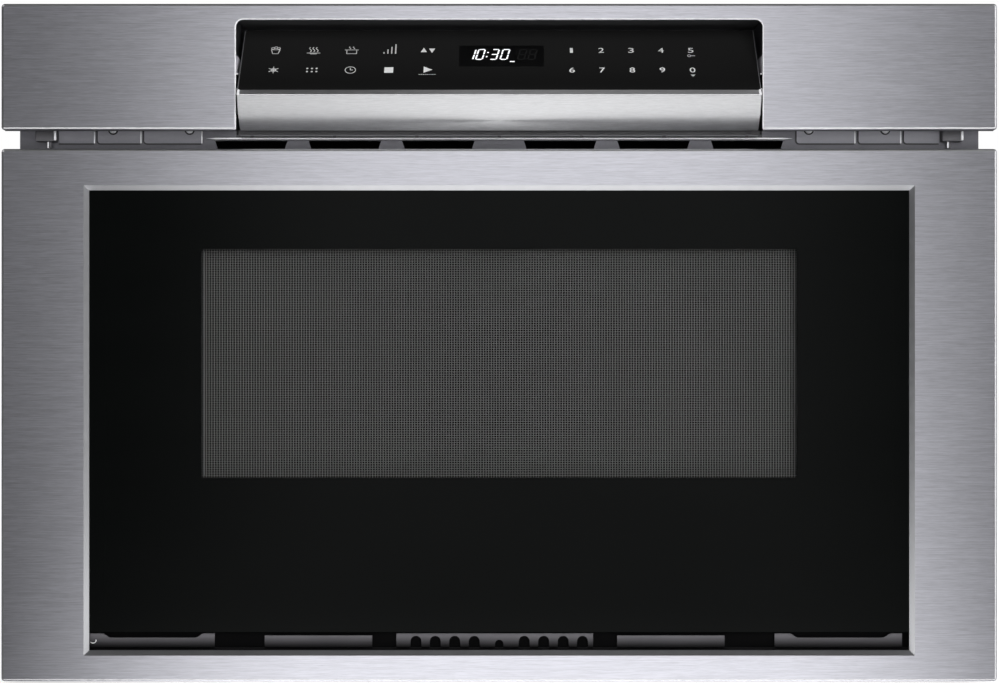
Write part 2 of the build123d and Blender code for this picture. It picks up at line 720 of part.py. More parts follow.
def make_transformer_coils():
    """Two windings, one over the other, round the core's middle leg."""
    centre_z = middle(CORE_Z)
    depth = middle(CORE_DEPTH)
    with BuildPart() as transformer_coils:
        for z_span in ((centre_z - 26, centre_z - 4), (centre_z + 1, centre_z + 26)):
            with BuildSketch(plan_plane(z_span[0])):
                with Locations((CORE_X, depth)):
                    RectangleRounded(69, length(CORE_DEPTH) + 34, 10)
                    Rectangle(35, length(CORE_DEPTH) + 2, mode=Mode.SUBTRACT)
            extrude(amount=length(z_span))
    save(transformer_coils, "transformer_coils")


def make_hv_capacitor():
    """An oval can on the base plate, with two blade terminals."""
    with BuildPart() as hv_capacitor:
        with BuildSketch(plan_plane(SHEET)):
            with Locations((60, 390)):
                SlotOverall(70, 36)
        extrude(amount=78)
        for x in (50, 70):
            block((x - 3, x + 3), (389, 391), (SHEET + 78, SHEET + 90))
    save(hv_capacitor, "hv_capacitor")


def make_fan_shroud():
    with BuildPart() as fan_shroud:
        with BuildSketch(front_plane(FAN_DEPTH[0])):
            with Locations(FAN):
                RectangleRounded(124, 124, 8)
                Circle(54, mode=Mode.SUBTRACT)
                with GridLocations(108, 108, 2, 2):
                    Circle(2.2, mode=Mode.SUBTRACT)
        extrude(amount=-length(FAN_DEPTH))
    save(fan_shroud, "fan_shroud")


def make_fan_motor():
    """The fan's motor on a strap across the shroud."""
    with BuildPart() as fan_motor:
        bar_y(FAN[0], (534, 559), FAN[1], 24)
        block((FAN[0] - 60, FAN[0] + 60), (559, FAN_DEPTH[0]), (FAN[1] - 9, FAN[1] + 9))
        bar_y(FAN[0], (545, FAN_DEPTH[0]), FAN[1], SHAFT + RUNNING_GAP, Mode.SUBTRACT)
    save(fan_motor, "fan_motor")


def make_fan_rotor():
    """Seven slanted blades on a hub, with a shaft into the motor."""
    with BuildPart() as fan_rotor:
        bar_y(FAN[0], (566, 582), FAN[1], 15)
        bar_y(FAN[0], (546, 566), FAN[1], SHAFT)
        hub = Plane(origin=(FAN[0], FRONT_Y + 574, FAN[1]), x_dir=(1, 0, 0), z_dir=(0, -1, 0))
        with Locations(hub):
            with PolarLocations(32, 7):
                Box(36, 22, 1.6, rotation=(32, 0, 0))
    save(fan_rotor, "fan_rotor")


def make_air_duct():
    """The duct that carries the fan's air over the magnetron, open at both ends."""
    with BuildPart() as air_duct:
        with BuildSketch(front_plane(310)):
            area((126, 224), (GUIDE_TOP + 2, 511))
            area((127.2, 222.8), (GUIDE_TOP + 3.2, 509.8), Mode.SUBTRACT)
        extrude(amount=-(528 - 310))
        # feet stand on the cavity's roof
        for x_span in ((130, 136), (214, 220)):
            block(x_span, (440, 456), (CAVITY_Z[1] + SHEET, GUIDE_TOP + 2))
    save(air_duct, "air_duct")


def make_exhaust_duct():
    """The low duct behind the front vent slots. Air comes in through its roof at the back."""
    with BuildPart() as exhaust_duct:
        outer_z = (402.0, 420.6)
        block((-225, 225), (BULKHEAD[1], 130), outer_z)
        block((-223.8, 223.8), (BULKHEAD[1], 128.8), (403.2, 419.4), Mode.SUBTRACT)
        block((-200, 200), (96, 120), (419.4, 420.6), Mode.SUBTRACT)
    save(exhaust_duct, "exhaust_duct")


def make_noise_filter_board():
    """The supply filter on the back panel: board, choke and capacitors."""
    with BuildPart() as noise_filter_board:
        block((-330, -236), (582, 583.6), (400, 474))
        for x in (-324, -242):
            for z in (406, 468):
                bar_y(x, (583.6, BACK[0]), z, 3)
        block((-322, -290), (556, 582), (415, 440))
        bar_y(-262, (566, 582), 440, 14)
        block((-322, -300), (566, 582), (448, 462))
    save(noise_filter_board, "noise_filter_board")


def make_power_board():
    """The relay board on posts over the cavity."""
    floor_z = CAVITY_Z[1] + SHEET
    board_z = (floor_z + 8, floor_z + 9.6)
    with BuildPart() as power_board:
        block((-215, -110), (385, 510), board_z)
        for x in (-208, -117):
            for depth in (392, 503):
                bar_z(x, depth, (floor_z, board_z[0]), 3)
        block((-205, -165), (400, 435), (board_z[1], board_z[1] + 30))
        for depth in (445, 470):
            block((-150, -122), (depth, depth + 18), (board_z[1], board_z[1] + 16))
        bar_z(-190, 470, (board_z[1], board_z[1] + 25), 9)
    save(power_board, "power_board")


# ---------------------------------------------------------------- slides and drawer drive
def make_slide_outer(side, name):
    """The fixed channel of a slide. Its web runs down to a foot on the base plate."""
    web = (SLIDE_X - SLIDE_SHEET, SLIDE_X)
    flange = (SLIDE_X - 12, SLIDE_X)
    depths = (36, SLIDE_BACK)
    with BuildPart() as slide_outer:
        block(mirrored(web, side), depths, (SHEET, SLIDE_Z[1]))
        block(mirrored(flange, side), depths, (SLIDE_Z[0], SLIDE_Z[0] + SLIDE_SHEET))
        block(mirrored(flange, side), depths, (SLIDE_Z[1] - SLIDE_SHEET, SLIDE_Z[1]))
        block(mirrored((SLIDE_X, SLIDE_X + 22), side), depths, (SHEET, SHEET + SLIDE_SHEET))
    save(slide_outer, name)


def make_slide_middle(side, name):
    """The channel between the two others. It moves half as far as the drawer."""
    web = (SLIDE_X - 5, SLIDE_X - 3.5)
    flange = (SLIDE_X - 12, SLIDE_X - 3.5)
    depths = (38, SLIDE_BACK)
    z_span = (SLIDE_Z[0] + 3.5, SLIDE_Z[1] - 3.5)
    with BuildPart() as slide_middle:
        block(mirrored(web, side), depths, z_span)
        block(mirrored(flange, side), depths, (z_span[0], z_span[0] + SLIDE_SHEET))
        block(mirrored(flange, side), depths, (z_span[1] - SLIDE_SHEET, z_span[1]))
    save(slide_middle, name)


def make_slide_inner(side, name):
    """The drawer's own channel, with a bracket that bolts to the door chassis."""
    web = (SLIDE_X - 12.5, SLIDE_X - 11)
    flange = (SLIDE_X - 12.5, SLIDE_X - 7)
    z_span = (SLIDE_Z[0] + 8.5, SLIDE_Z[1] - 8.5)
    with BuildPart() as slide_inner:
        block(mirrored(web, side), (CHASSIS[1], SLIDE_BACK - 2), z_span)
        block(mirrored(flange, side), (40, SLIDE_BACK - 2), (z_span[0], z_span[0] + SLIDE_SHEET))
        block(mirrored(flange, side), (40, SLIDE_BACK - 2), (z_span[1] - SLIDE_SHEET, z_span[1]))
        block(mirrored((SLIDE_X - 11, SLIDE_X + 25), side), (CHASSIS[1], CHASSIS[1] + 2), z_span)
    save(slide_inner, name)


def make_rack():
    """A toothed bar on the right inner channel. Its teeth point down at the drive pinion."""
    tip, root, tip_half, root_half = tooth(DRIVE_MODULE, DRIVE_BACKLASH)
    pitch = math.pi * DRIVE_MODULE
    count = int((RACK_BACK - CHASSIS[1]) / pitch)
    first = DRIVE_DEPTH - pitch * (int((DRIVE_DEPTH - CHASSIS[1]) / pitch) - 0.5)
    with BuildPart() as rack:
        block(RACK_X, (CHASSIS[1], RACK_BACK), (RACK_PITCH_Z + root, RACK_PITCH_Z + root + 9))
        with BuildSketch(side_plane(RACK_X[0])):
            for number in range(count):
                centre = first + number * pitch
                if centre + root_half < RACK_BACK:
                    Polygon(
                        (centre - root_half, RACK_PITCH_Z + root),
                        (centre - tip_half, RACK_PITCH_Z - tip),
                        (centre + tip_half, RACK_PITCH_Z - tip),
                        (centre + root_half, RACK_PITCH_Z + root),
                        align=None,
                    )
        extrude(amount=length(RACK_X))
    save(rack, "rack")


DRIVE_Z = RACK_PITCH_Z - DRIVE_TEETH * DRIVE_MODULE / 2


def make_drive_pinion():
    with BuildPart() as drive_pinion:
        with BuildSketch(side_plane(RACK_X[0])):
            with Locations((DRIVE_DEPTH, DRIVE_Z)):
                outline = gear_outline(DRIVE_TEETH, DRIVE_MODULE, DRIVE_BACKLASH, math.pi / 2)
                Polygon(*outline, align=None)
        extrude(amount=length(RACK_X) - 1)
        bar_x((236, RACK_X[0]), DRIVE_DEPTH, DRIVE_Z, PIN_RADIUS)
    save(drive_pinion, "drive_pinion")


def make_gear_motor():
    """The motor that drives the drawer, on its own foot."""
    with BuildPart() as gear_motor:
        block((216, 249), (46, 94), (22, 72))
        bar_x((164, 216), DRIVE_DEPTH, 47, 20)
        bar_x((156, 164), DRIVE_DEPTH, 47, 8)
        block((218, 247), (50, 90), (SHEET + 3, 22))
        block((206, 249), (46, 94), (SHEET, SHEET + 3))
        bar_x((234, 249), DRIVE_DEPTH, DRIVE_Z, PIN_RADIUS + RUNNING_GAP, Mode.SUBTRACT)
    save(gear_motor, "gear_motor")


# ---------------------------------------------------------------- drawer front
CHASSIS = (19.0, 21.2)
LATCH_SLOT_X = (258.0, 270.0)
LATCH_SLOT_Z = (294.0, 330.0)
SCREEN_HALF = (240.0, 232.0)  # half the screen's width, and half of the hole it covers
SCREEN_Z = (146.0, 346.0)


def make_door_frame():
    """The brushed frame: a folded steel shell with a bevelled window."""
    wall = 1.5
    with BuildPart() as door_frame:
        block((-TRIM_HALF, TRIM_HALF), (0, DRAWER_FRONT_DEEP), DRAWER_FRONT_Z)
        inner_z = (DRAWER_FRONT_Z[0] + wall, DRAWER_FRONT_Z[1] - wall)
        inner_x = (-TRIM_HALF + wall, TRIM_HALF - wall)
        block(inner_x, (FRAME_THICK, DRAWER_FRONT_DEEP), inner_z, Mode.SUBTRACT)
        block((-WINDOW_HALF, WINDOW_HALF), (0, FRAME_THICK), WINDOW_Z, Mode.SUBTRACT)
        front_edges = door_frame.edges().filter_by(lambda edge: edge.center().Y < FRONT_Y + 0.01)
        window_edges = front_edges.filter_by(
            lambda edge: abs(edge.center().X) < WINDOW_HALF + 1
            and WINDOW_Z[0] - 1 < edge.center().Z < WINDOW_Z[1] + 1
        )
        chamfer(window_edges, WINDOW_BEVEL)
        rim_edges = door_frame.edges().filter_by(
            lambda edge: edge.center().Y < FRONT_Y + 0.01
            and (
                abs(edge.center().X) > TRIM_HALF - 1
                or edge.center().Z < DRAWER_FRONT_Z[0] + 1
                or edge.center().Z > DRAWER_FRONT_Z[1] - 1
            )
        )
        fillet(rim_edges, 0.8)
    save(door_frame, "door_frame")


def make_door_glass():
    with BuildPart() as door_glass:
        with BuildSketch(front_plane(FRAME_THICK)):
            area((-320, 320), (GLASS_LOW, 386))
        extrude(amount=-4)
        lower_front = door_glass.edges().filter_by(Axis.X).group_by(Axis.Z)[0].sort_by(Axis.Y)[0]
        chamfer(lower_front, 0.6)
    save(door_glass, "door_glass")


def make_door_screen():
    """The perforated sheet behind the glass, with a raised rim round its mesh."""
    with BuildPart() as door_screen:
        block((-SCREEN_HALF[0], SCREEN_HALF[0]), (18.2, CHASSIS[0]), SCREEN_Z)
        with BuildSketch(front_plane(18.2)):
            area((-SCREEN_HALF[0], SCREEN_HALF[0]), SCREEN_Z)
            area((-229.5, 229.5), (158, 334), Mode.SUBTRACT)
        extrude(amount=0.8)
    save(door_screen, "door_screen")


def make_door_chassis():
    """The pressed pan behind the frame that carries the glass, the slides and the tub."""
    outer = (-374, 374)
    outer_z = (9, 405)
    fold = 1.5
    with BuildPart() as door_chassis:
        with BuildSketch(front_plane(CHASSIS[0])):
            area(outer, outer_z)
            area((-SCREEN_HALF[1], SCREEN_HALF[1]), (152, 340), Mode.SUBTRACT)
        extrude(amount=-length(CHASSIS))
        # its edges fold forward to the back of the frame
        with BuildSketch(front_plane(CHASSIS[0])):
            area(outer, outer_z)
            area((outer[0] + fold, outer[1] - fold), (outer_z[0] + fold, outer_z[1] - fold), Mode.SUBTRACT)
        extrude(amount=CHASSIS[0] - FRAME_THICK)
        # ribs that the glass rests against
        for x_span in both_sides((300, 302)):
            block(x_span, (8.5, CHASSIS[0]), (60, 370))
    save(door_chassis, "door_chassis")


def make_choke_frame():
    """The moulded ring round the back of the window that seals the shut door."""
    with BuildPart() as choke_frame:
        with BuildSketch(front_plane(CHASSIS[1])):
            area((-256, 256), (102, 368))
            area((-SCREEN_HALF[1], SCREEN_HALF[1]), (124, 342), Mode.SUBTRACT)
        extrude(amount=-8)
        back_rim = choke_frame.faces().sort_by(Axis.Y)[-1].edges()
        chamfer(back_rim, 1.0)
    save(choke_frame, "choke_frame")


def make_inner_cover():
    """The deep window frame that closes the front of the tub."""
    with BuildPart() as inner_cover:
        with BuildSketch(front_plane(CHASSIS[1])):
            area((-TUB_HALF, TUB_HALF), (TUB_FLOOR[0], 338))
            area((-211, 211), (156, 332), Mode.SUBTRACT)
        extrude(amount=-(TUB_DEPTH[0] - CHASSIS[1]))
        window_rim = inner_cover.faces().sort_by(Axis.Y)[-1].inner_wires()[0].edges()
        chamfer(window_rim, 3.0)
    save(inner_cover, "inner_cover")


BAFFLE_TAB_TOP = 38.7
BAFFLE_NOTCH_TOP = 35.6
BAFFLE_HOLES = (19.2, 34.2, 49.2, 64.0)


def make_vent_baffle():
    """The dark folded strip behind the gap under the glass, with five upstanding tabs."""
    front = 15.0
    with BuildPart() as vent_baffle:
        block((-317, 317), (front, front + SHEET), (14, 28))
        block((-317, 317), (front + SHEET, CHASSIS[0]), (14, 14 + SHEET))
        with BuildSketch(front_plane(front)):
            for x_span in both_sides((209.2, 316.5)):
                area(x_span, (28, BAFFLE_NOTCH_TOP))
            for x_span in both_sides((209.2, 214)) + both_sides((302, 316.5)):
                area(x_span, (28, BAFFLE_TAB_TOP))
            for x_span in both_sides((91, 178)):
                area(x_span, (28, BAFFLE_TAB_TOP - 1.2))
            area((-76, 76), (28, BAFFLE_TAB_TOP))
            for x in BAFFLE_HOLES:
                for side in (-1, 1):
                    area((side * x - 4.3, side * x + 4.3), (28, 34), Mode.SUBTRACT)
                    with Locations((side * x, 34)):
                        Circle(4.3, mode=Mode.SUBTRACT)
            area((-3.5, 3.5), (28, 31), Mode.SUBTRACT)
            with Locations((0, 31)):
                Circle(3.5, mode=Mode.SUBTRACT)
        extrude(amount=-SHEET)
    save(vent_baffle, "vent_baffle")


def make_latch_hooks():
    """Two hooks on the back of the chassis that work the interlock switches."""
    with BuildPart() as latch_hooks:
        for side in (-1, 1):
            with BuildSketch(side_plane(min(mirrored((262, 265), side)))):
                with BuildLine():
                    Polyline(
                        (CHASSIS[1], 301),
                        (56, 301),
                        (56, 294.5 + 3),
                        (62, 301),
                        (62, 308),
                        (50, 313),
                        (CHASSIS[1], 324),
                        close=True,
                    )
                make_face()
            extrude(amount=3)
    save(latch_hooks, "latch_hooks")


def make_interlock_switches():
    """Three snap switches behind the bulkhead beside the hooks' slots."""
    with BuildPart() as interlock_switches:
        for x_span, z_span in (
            ((271, 281), (296, 312)),
            ((271, 281), (314, 330)),
            ((-281, -271), (296, 312)),
        ):
            block(x_span, (BULKHEAD[1], 60), z_span)
    save(interlock_switches, "interlock_switches")


# ---------------------------------------------------------------- tub
def make_tub_wall():
    """One sheet bent round the sides and back of the tub, with a rolled top edge."""
    inner_half = TUB_HALF - TUB_WALL - 3
    wall_z = (TUB_FLOOR[1], TUB_TOP)
    with BuildPart() as tub_wall:
        with BuildSketch(plan_plane(wall_z[0])):
            area((-inner_half - TUB_WALL, inner_half + TUB_WALL), TUB_DEPTH)
            area((-inner_half, inner_half), (TUB_DEPTH[0], TUB_DEPTH[1] - TUB_WALL), Mode.SUBTRACT)
        extrude(amount=length(wall_z))
        with BuildSketch(plan_plane(wall_z[1] - 4)):
            area((-TUB_HALF, TUB_HALF), (TUB_DEPTH[0], TUB_DEPTH[1] + 3))
            area((-inner_half, inner_half), (TUB_DEPTH[0], TUB_DEPTH[1] - TUB_WALL), Mode.SUBTRACT)
        extrude(amount=4)
        top_edges = tub_wall.faces().sort_by(Axis.Z)[-1].outer_wire().edges().filter_by(Axis.Y)
        fillet(top_edges.sort_by(Axis.X)[0], 1.5)
        top_edges = tub_wall.faces().sort_by(Axis.Z)[-1].outer_wire().edges().filter_by(Axis.Y)
        fillet(top_edges.sort_by(Axis.X)[-1], 1.5)
    save(tub_wall, "tub_wall")


def make_tub_floor():
    with BuildPart() as tub_floor:
        block((-TUB_HALF, TUB_HALF), TUB_DEPTH, TUB_FLOOR)
        # three low runners keep the sheet off the cavity's floor
        for x in (-150, 0, 150):
            block((x - 12, x + 12), (70, 470), (TUB_FLOOR[0] - 3, TUB_FLOOR[0]))
    save(tub_floor, "tub_floor")


def make_glass_tray():
    inner_half = TUB_HALF - TUB_WALL - 3
    with BuildPart() as glass_tray:
        tray_x = (-inner_half + 1, inner_half - 1)
        tray_depth = (TUB_DEPTH[0] + 1, TUB_DEPTH[1] - TUB_WALL - 1)
        block(tray_x, tray_depth, (TUB_FLOOR[1], TUB_FLOOR[1] + TRAY_THICK))
        fillet(glass_tray.edges().filter_by(Axis.Z), 8)
        chamfer(glass_tray.faces().sort_by(Axis.Z)[-1].edges(), 1.0)
    save(glass_tray, "glass_tray")


def main():
    os.makedirs("parts", exist_ok=True)
    make_base_plate()
    make_side_panel(-1, "side_panel_left")
    make_side_panel(1, "side_panel_right")
    make_top_cover()
    make_back_panel()
    make_front_bulkhead()
    make_fascia()
    make_corner_blocks()
    make_cabinet_screws()
    make_cord_gland()
    make_recess_liner()
    make_hinge_plate(-1, "hinge_plate_left")
    make_hinge_plate(1, "hinge_plate_right")
    make_tilt_pinion()
    make_tilt_motor()
    make_panel_housing()
    make_panel_glass()
    make_panel_nose()
    make_panel_board()
    make_sector_gear()
    make_oven_cavity()
    make_stirrer_dome()
    make_stirrer_cover()
    make_stirrer_blade()
    make_stirrer_motor()
    make_waveguide()
    make_magnetron()
    make_magnetron_frame()
    make_oven_lamp()
    make_transformer_core()
    make_transformer_coils()
    make_hv_capacitor()
    make_fan_shroud()
    make_fan_motor()
    make_fan_rotor()
    make_air_duct()
    make_exhaust_duct()
    make_noise_filter_board()
    make_power_board()
    make_slide_outer(-1, "slide_outer_left")
    make_slide_outer(1, "slide_outer_right")
    make_slide_middle(-1, "slide_middle_left")
    make_slide_middle(1, "slide_middle_right")
    make_slide_inner(-1, "slide_inner_left")
    make_slide_inner(1, "slide_inner_right")
    make_rack()
    make_drive_pinion()
    make_gear_motor()
    make_door_frame()
    make_door_glass()
    make_door_screen()
    make_door_chassis()
    make_choke_frame()
    make_inner_cover()
    make_vent_baffle()
    make_latch_hooks()
    make_interlock_switches()
    make_tub_wall()
    make_tub_floor()
    make_glass_tray()


main()
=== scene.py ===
import math

import bmesh
import bpy
import numpy as np
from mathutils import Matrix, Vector


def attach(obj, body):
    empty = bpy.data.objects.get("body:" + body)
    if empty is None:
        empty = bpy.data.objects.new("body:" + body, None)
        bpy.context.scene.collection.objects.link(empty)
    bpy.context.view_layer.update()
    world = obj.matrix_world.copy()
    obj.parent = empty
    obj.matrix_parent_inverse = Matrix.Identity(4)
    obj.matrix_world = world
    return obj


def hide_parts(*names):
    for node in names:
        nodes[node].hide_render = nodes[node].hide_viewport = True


# The looks of a built-in microwave oven whose heating tray slides out like a drawer.
# Metres, in the model's own frame: +X is the user's right, the front faces -Y and +Z is up.
# Sizes are written in millimetres, and a depth is counted back from the front plane of the steel.

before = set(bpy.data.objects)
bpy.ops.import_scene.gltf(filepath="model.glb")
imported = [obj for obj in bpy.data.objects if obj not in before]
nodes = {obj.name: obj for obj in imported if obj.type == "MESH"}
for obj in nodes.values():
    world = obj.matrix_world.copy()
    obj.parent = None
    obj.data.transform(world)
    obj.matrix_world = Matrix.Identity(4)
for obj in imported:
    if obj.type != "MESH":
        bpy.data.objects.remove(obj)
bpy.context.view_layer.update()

MM = 0.001
FRONT_Y = -0.295233


def place(across, depth, up):
    """Points in metres from millimetres across, back from the front plane, and up."""
    spread = np.broadcast_arrays(
        np.asarray(across, float), np.asarray(depth, float), np.asarray(up, float)
    )
    return np.stack(spread, -1) * MM + np.array([0.0, FRONT_Y, 0.0])


# ---------------------------------------------------------------- finishes
finishes = {}


class Finish:
    """One material while it is made: its surface shader and the patterns that feed it. It is kept under its
    name, and put on the CAD nodes that wear it."""

    def __init__(self, name, colour, rough, worn_by="", **uniform):
        self.colour = colour
        self.material = finishes[name] = bpy.data.materials.new(name)
        self.material.use_nodes = True
        self.tree = self.material.node_tree
        self.surface = self.tree.nodes["Principled BSDF"]
        self.feed("Base Color", colour)
        self.feed("Roughness", rough)
        for socket, value in uniform.items():
            self.feed(socket.replace("_", " "), value)
        self.object_place = self.tree.nodes.new("ShaderNodeTexCoord").outputs["Object"]
        for wearer in worn_by.split():
            slots = nodes[wearer].data.materials
            slots.clear()
            slots.append(self.material)

    def join(self, value, socket):
        """Puts a number, a colour or another node's output on a socket."""
        if isinstance(value, bpy.types.NodeSocket):
            self.tree.links.new(value, socket)
        elif isinstance(value, (tuple, list)) and len(socket.default_value) == 4:
            socket.default_value = (*value[:3], 1.0)
        else:
            socket.default_value = value

    def feed(self, socket, value):
        self.join(value, self.surface.inputs[socket])

    def node(self, kind, inputs=(), **settings):
        made = self.tree.nodes.new("ShaderNode" + kind)
        for name, value in settings.items():
            setattr(made, name, value)
        for key, value in dict(inputs).items():
            self.join(value, made.inputs[key])
        return made

    def stretched(self, stretch):
        """Object coordinates, multiplied along each axis."""
        if not isinstance(stretch, (tuple, list)):
            stretch = (stretch, stretch, stretch)
        made = self.node("Mapping", {"Vector": self.object_place, "Scale": tuple(stretch)})
        return made.outputs["Vector"]

    def noise(self, stretch, detail=3.0, rough=0.5):
        """Cloudy noise from 0 to 1. The stretch is how many clouds there are to a metre."""
        inputs = {"Vector": self.stretched(stretch), "Scale": 1.0, "Detail": detail, "Roughness": rough}
        return self.node("TexNoise", inputs).outputs["Fac"]

    def cells(self, stretch, output="Distance", feature="F1"):
        inputs = {"Vector": self.stretched(stretch), "Scale": 1.0}
        return self.node("TexVoronoi", inputs, feature=feature).outputs[output]

    def spread(self, value, low, high, out_low=0.0, out_high=1.0):
        """Maps low..high to out_low..out_high, and no further."""
        inputs = {"Value": value, "From Min": low, "From Max": high, "To Min": out_low, "To Max": out_high}
        return self.node("MapRange", inputs).outputs["Result"]

    def between(self, pattern, out_low, out_high):
        """Maps the middle of a 0 to 1 pattern, where nearly all of it lies, to two values."""
        return self.spread(pattern, 0.3, 0.7, out_low, out_high)

    def sum_of(self, first, second, operation="ADD"):
        return self.node("Math", {0: first, 1: second}, operation=operation).outputs[0]

    def times(self, first, second):
        return self.sum_of(first, second, "MULTIPLY")

    def along(self, axis):
        """The coordinate along X, Y or Z, in metres."""
        return self.node("SeparateXYZ", {"Vector": self.object_place}).outputs[axis]

    def within(self, axis, low, high, soft=0.0002):
        """1 between two coordinates of an axis in metres, and 0 outside them."""
        here = self.along(axis)
        above = self.spread(here, low - soft, low + soft)
        below = self.spread(here, high - soft, high + soft, 1.0, 0.0)
        return self.times(above, below)

    def blend(self, share, first, second):
        """The first colour where share is 0 and the second where it is 1."""
        made = self.node("Mix", data_type="RGBA")
        for socket, value in zip((0, 6, 7), (share, first, second)):
            self.join(value, made.inputs[socket])
        return made.outputs[2]

    def tinted(self, share, swing):
        """The finish's own colour, drifting up and down by a share of itself, as a 0 to 1 pattern says."""
        dark = tuple(c * (1 - swing) for c in self.colour)
        light = tuple(min(1.0, c * (1 + swing)) for c in self.colour)
        return self.blend(share, dark, light)

    def dent(self, height, depth_mm, strength=0.3):
        """Bump from a 0 to 1 height. Each call lies on top of the one before."""
        inputs = {"Height": height, "Distance": depth_mm * MM, "Strength": strength}
        below = self.surface.inputs["Normal"]
        if below.is_linked:
            inputs["Normal"] = below.links[0].from_socket
        self.feed("Normal", self.node("Bump", inputs).outputs["Normal"])

    def done(self, colour, pattern, smooth, rough, relief=None, depth_mm=0.0, strength=0.3):
        """The usual end of a finish: its colour, a roughness between two values as a pattern says, and a
        relief, which is the same pattern unless another is given."""
        self.feed("Base Color", colour)
        self.feed("Roughness", self.between(pattern, smooth, rough))
        if depth_mm:
            self.dent(relief or pattern, depth_mm, strength)


def brushed_finish(name, tone, rough, stretch, swing, spread, worn_by):
    """Sheet metal rubbed along X: short fine scratches, and a highlight drawn out across them."""
    f = Finish(name, tone, rough, worn_by, Metallic=1.0, Anisotropic=spread, Anisotropic_Rotation=0.25)
    scratches = f.noise((stretch[0], stretch[0], stretch[1]), 4.0, 0.65)
    hairs = f.noise((3 * stretch[0], 3 * stretch[0], 2.2 * stretch[1]), 2.0, 0.6)
    drift = f.noise((3, 3, 9), 2.0)
    grain = f.sum_of(f.times(scratches, 0.65), f.times(hairs, 0.35))
    f.feed("Base Color", f.tinted(f.spread(grain, 0.36, 0.64), swing))
    uneven = f.sum_of(f.between(grain, -0.035, 0.035), f.between(drift, -0.01, 0.01))
    f.feed("Roughness", f.sum_of(uneven, rough))
    f.dent(grain, 0.008)


def zinc_finish(name, tone, rough, crystals, worn_by):
    """Hot-dipped sheet: pale crystals of uneven tone under faint rolling marks."""
    f = Finish(name, tone, rough, worn_by, Metallic=0.8)
    crystal = f.node("SeparateColor", {"Color": f.cells(crystals, "Color")}).outputs["Red"]
    f.feed("Base Color", f.tinted(f.sum_of(f.times(crystal, 0.55), f.times(f.noise(9), 0.45)), 0.12))
    scuffs = f.noise((60, 25, 300), 4.0, 0.6)
    rubbed = f.sum_of(f.spread(crystal, 0, 1, -0.06, 0.05), f.spread(scuffs, 0.4, 0.7, -0.02, 0.06))
    f.feed("Roughness", f.sum_of(rubbed, rough))
    f.dent(scuffs, 0.03, 0.25)


PAINTED_LIGHT_Z = (0.414, 0.427)  # painted light: a sheet's colour pales upward between these heights, against the band's shade


def sheet_with_painted_light(name, low, high, worn_by=""):
    """Grey zinc sheet with cloudy patches, and painted light: it pales towards the band above it, against the
    band's shade.
    """
    f = Finish(name, low, 0.5, worn_by, Metallic=0.85)
    clouds = f.noise(14, 4.0)
    specks = f.noise(700, 2.0)
    # painted light: the colour ramps from low to high with height
    ground = f.blend(f.spread(f.along("Z"), *PAINTED_LIGHT_Z), low, high)
    f.feed("Base Color", f.blend(f.times(clouds, 0.25), ground, (0.12, 0.12, 0.13)))
    f.feed("Roughness", f.spread(f.times(clouds, specks), 0.1, 0.4, 0.38, 0.56))
    f.dent(specks, 0.02)


def painted_highlight_finish(name, tone):
    """A painted highlight: nearly white metal with faint drawing marks, bright under any light."""
    f = Finish(name, tone, 0.5, Metallic=0.15)
    marks = f.noise((60, 900, 900))
    f.done(f.tinted(marks, 0.06), marks, 0.42, 0.58, depth_mm=0.01)


def cut_finish(name, tone, rough):
    """Steel cut after brushing: a clean face with faint cutting marks."""
    f = Finish(name, tone, rough, Metallic=1.0)
    marks = f.noise(140)
    f.done(f.tinted(marks, 0.06), marks, rough - 0.05, rough + 0.05, depth_mm=0.006, strength=0.2)


def moulded_finish(name, colour, rough, grain_mm=0.55, worn_by="", depth_mm=0.02):
    """Moulded plastic: a fine spark-eroded grain, and gloss that drifts a little."""
    f = Finish(name, colour, rough, worn_by)
    drift = f.noise(18)
    f.feed("Base Color", f.tinted(drift, 0.12))
    f.feed("Roughness", f.sum_of(f.between(drift, -0.05, 0.05), rough))
    f.dent(f.cells(1000.0 / grain_mm), depth_mm, 0.35)


def cavity_enamel(name, colour, speck, worn_by):
    """Baked paint on steel: a faint orange-peel skin with small pale and dark specks."""
    f = Finish(name, colour, 0.32, worn_by, Coat_Weight=0.25, Coat_Roughness=0.22)
    peel = f.noise(260, 2.0, 0.4)
    dots = f.spread(f.cells(520), 0.1, 0.22, 1.0, 0.0)
    flecked = f.blend(f.times(dots, 0.5), f.tinted(f.noise(6), 0.05), speck)
    f.done(flecked, peel, 0.28, 0.38, depth_mm=0.05)


def board_finish(name, axis, low, high, part_colours, worn_by):
    """A circuit board: green lacquer over tracks between two planes, and parts of other colours beyond."""
    f = Finish(name, (0.02, 0.12, 0.05), 0.35, worn_by, Coat_Weight=0.2, Coat_Roughness=0.2)
    track = f.spread(f.cells(330, feature="DISTANCE_TO_EDGE"), 0.04, 0.07, 1.0, 0.0)
    lacquer = f.blend(track, (0.012, 0.10, 0.045), (0.05, 0.24, 0.10))
    pads = f.spread(f.cells(210), 0.10, 0.13, 1.0, 0.0)
    face = f.blend(pads, lacquer, (0.62, 0.6, 0.55))
    lumps = f.node("SeparateColor", {"Color": f.cells(34, "Color")}).outputs["Green"]
    parts = f.blend(f.spread(lumps, 0.45, 0.5), *part_colours)
    f.done(f.blend(f.within(axis, low, high), parts, face), f.noise(160), 0.28, 0.45, track, 0.035, 0.5)


def print_finish(name, colour, glow=0.0):
    """Opaque ink on the glass, a touch uneven where it was screened on."""
    f = Finish(name, colour, 0.45, Emission_Color=colour, Emission_Strength=glow)
    ink = f.noise(2400, 2.0)
    f.done(f.tinted(ink, 0.08), ink, 0.38, 0.52)


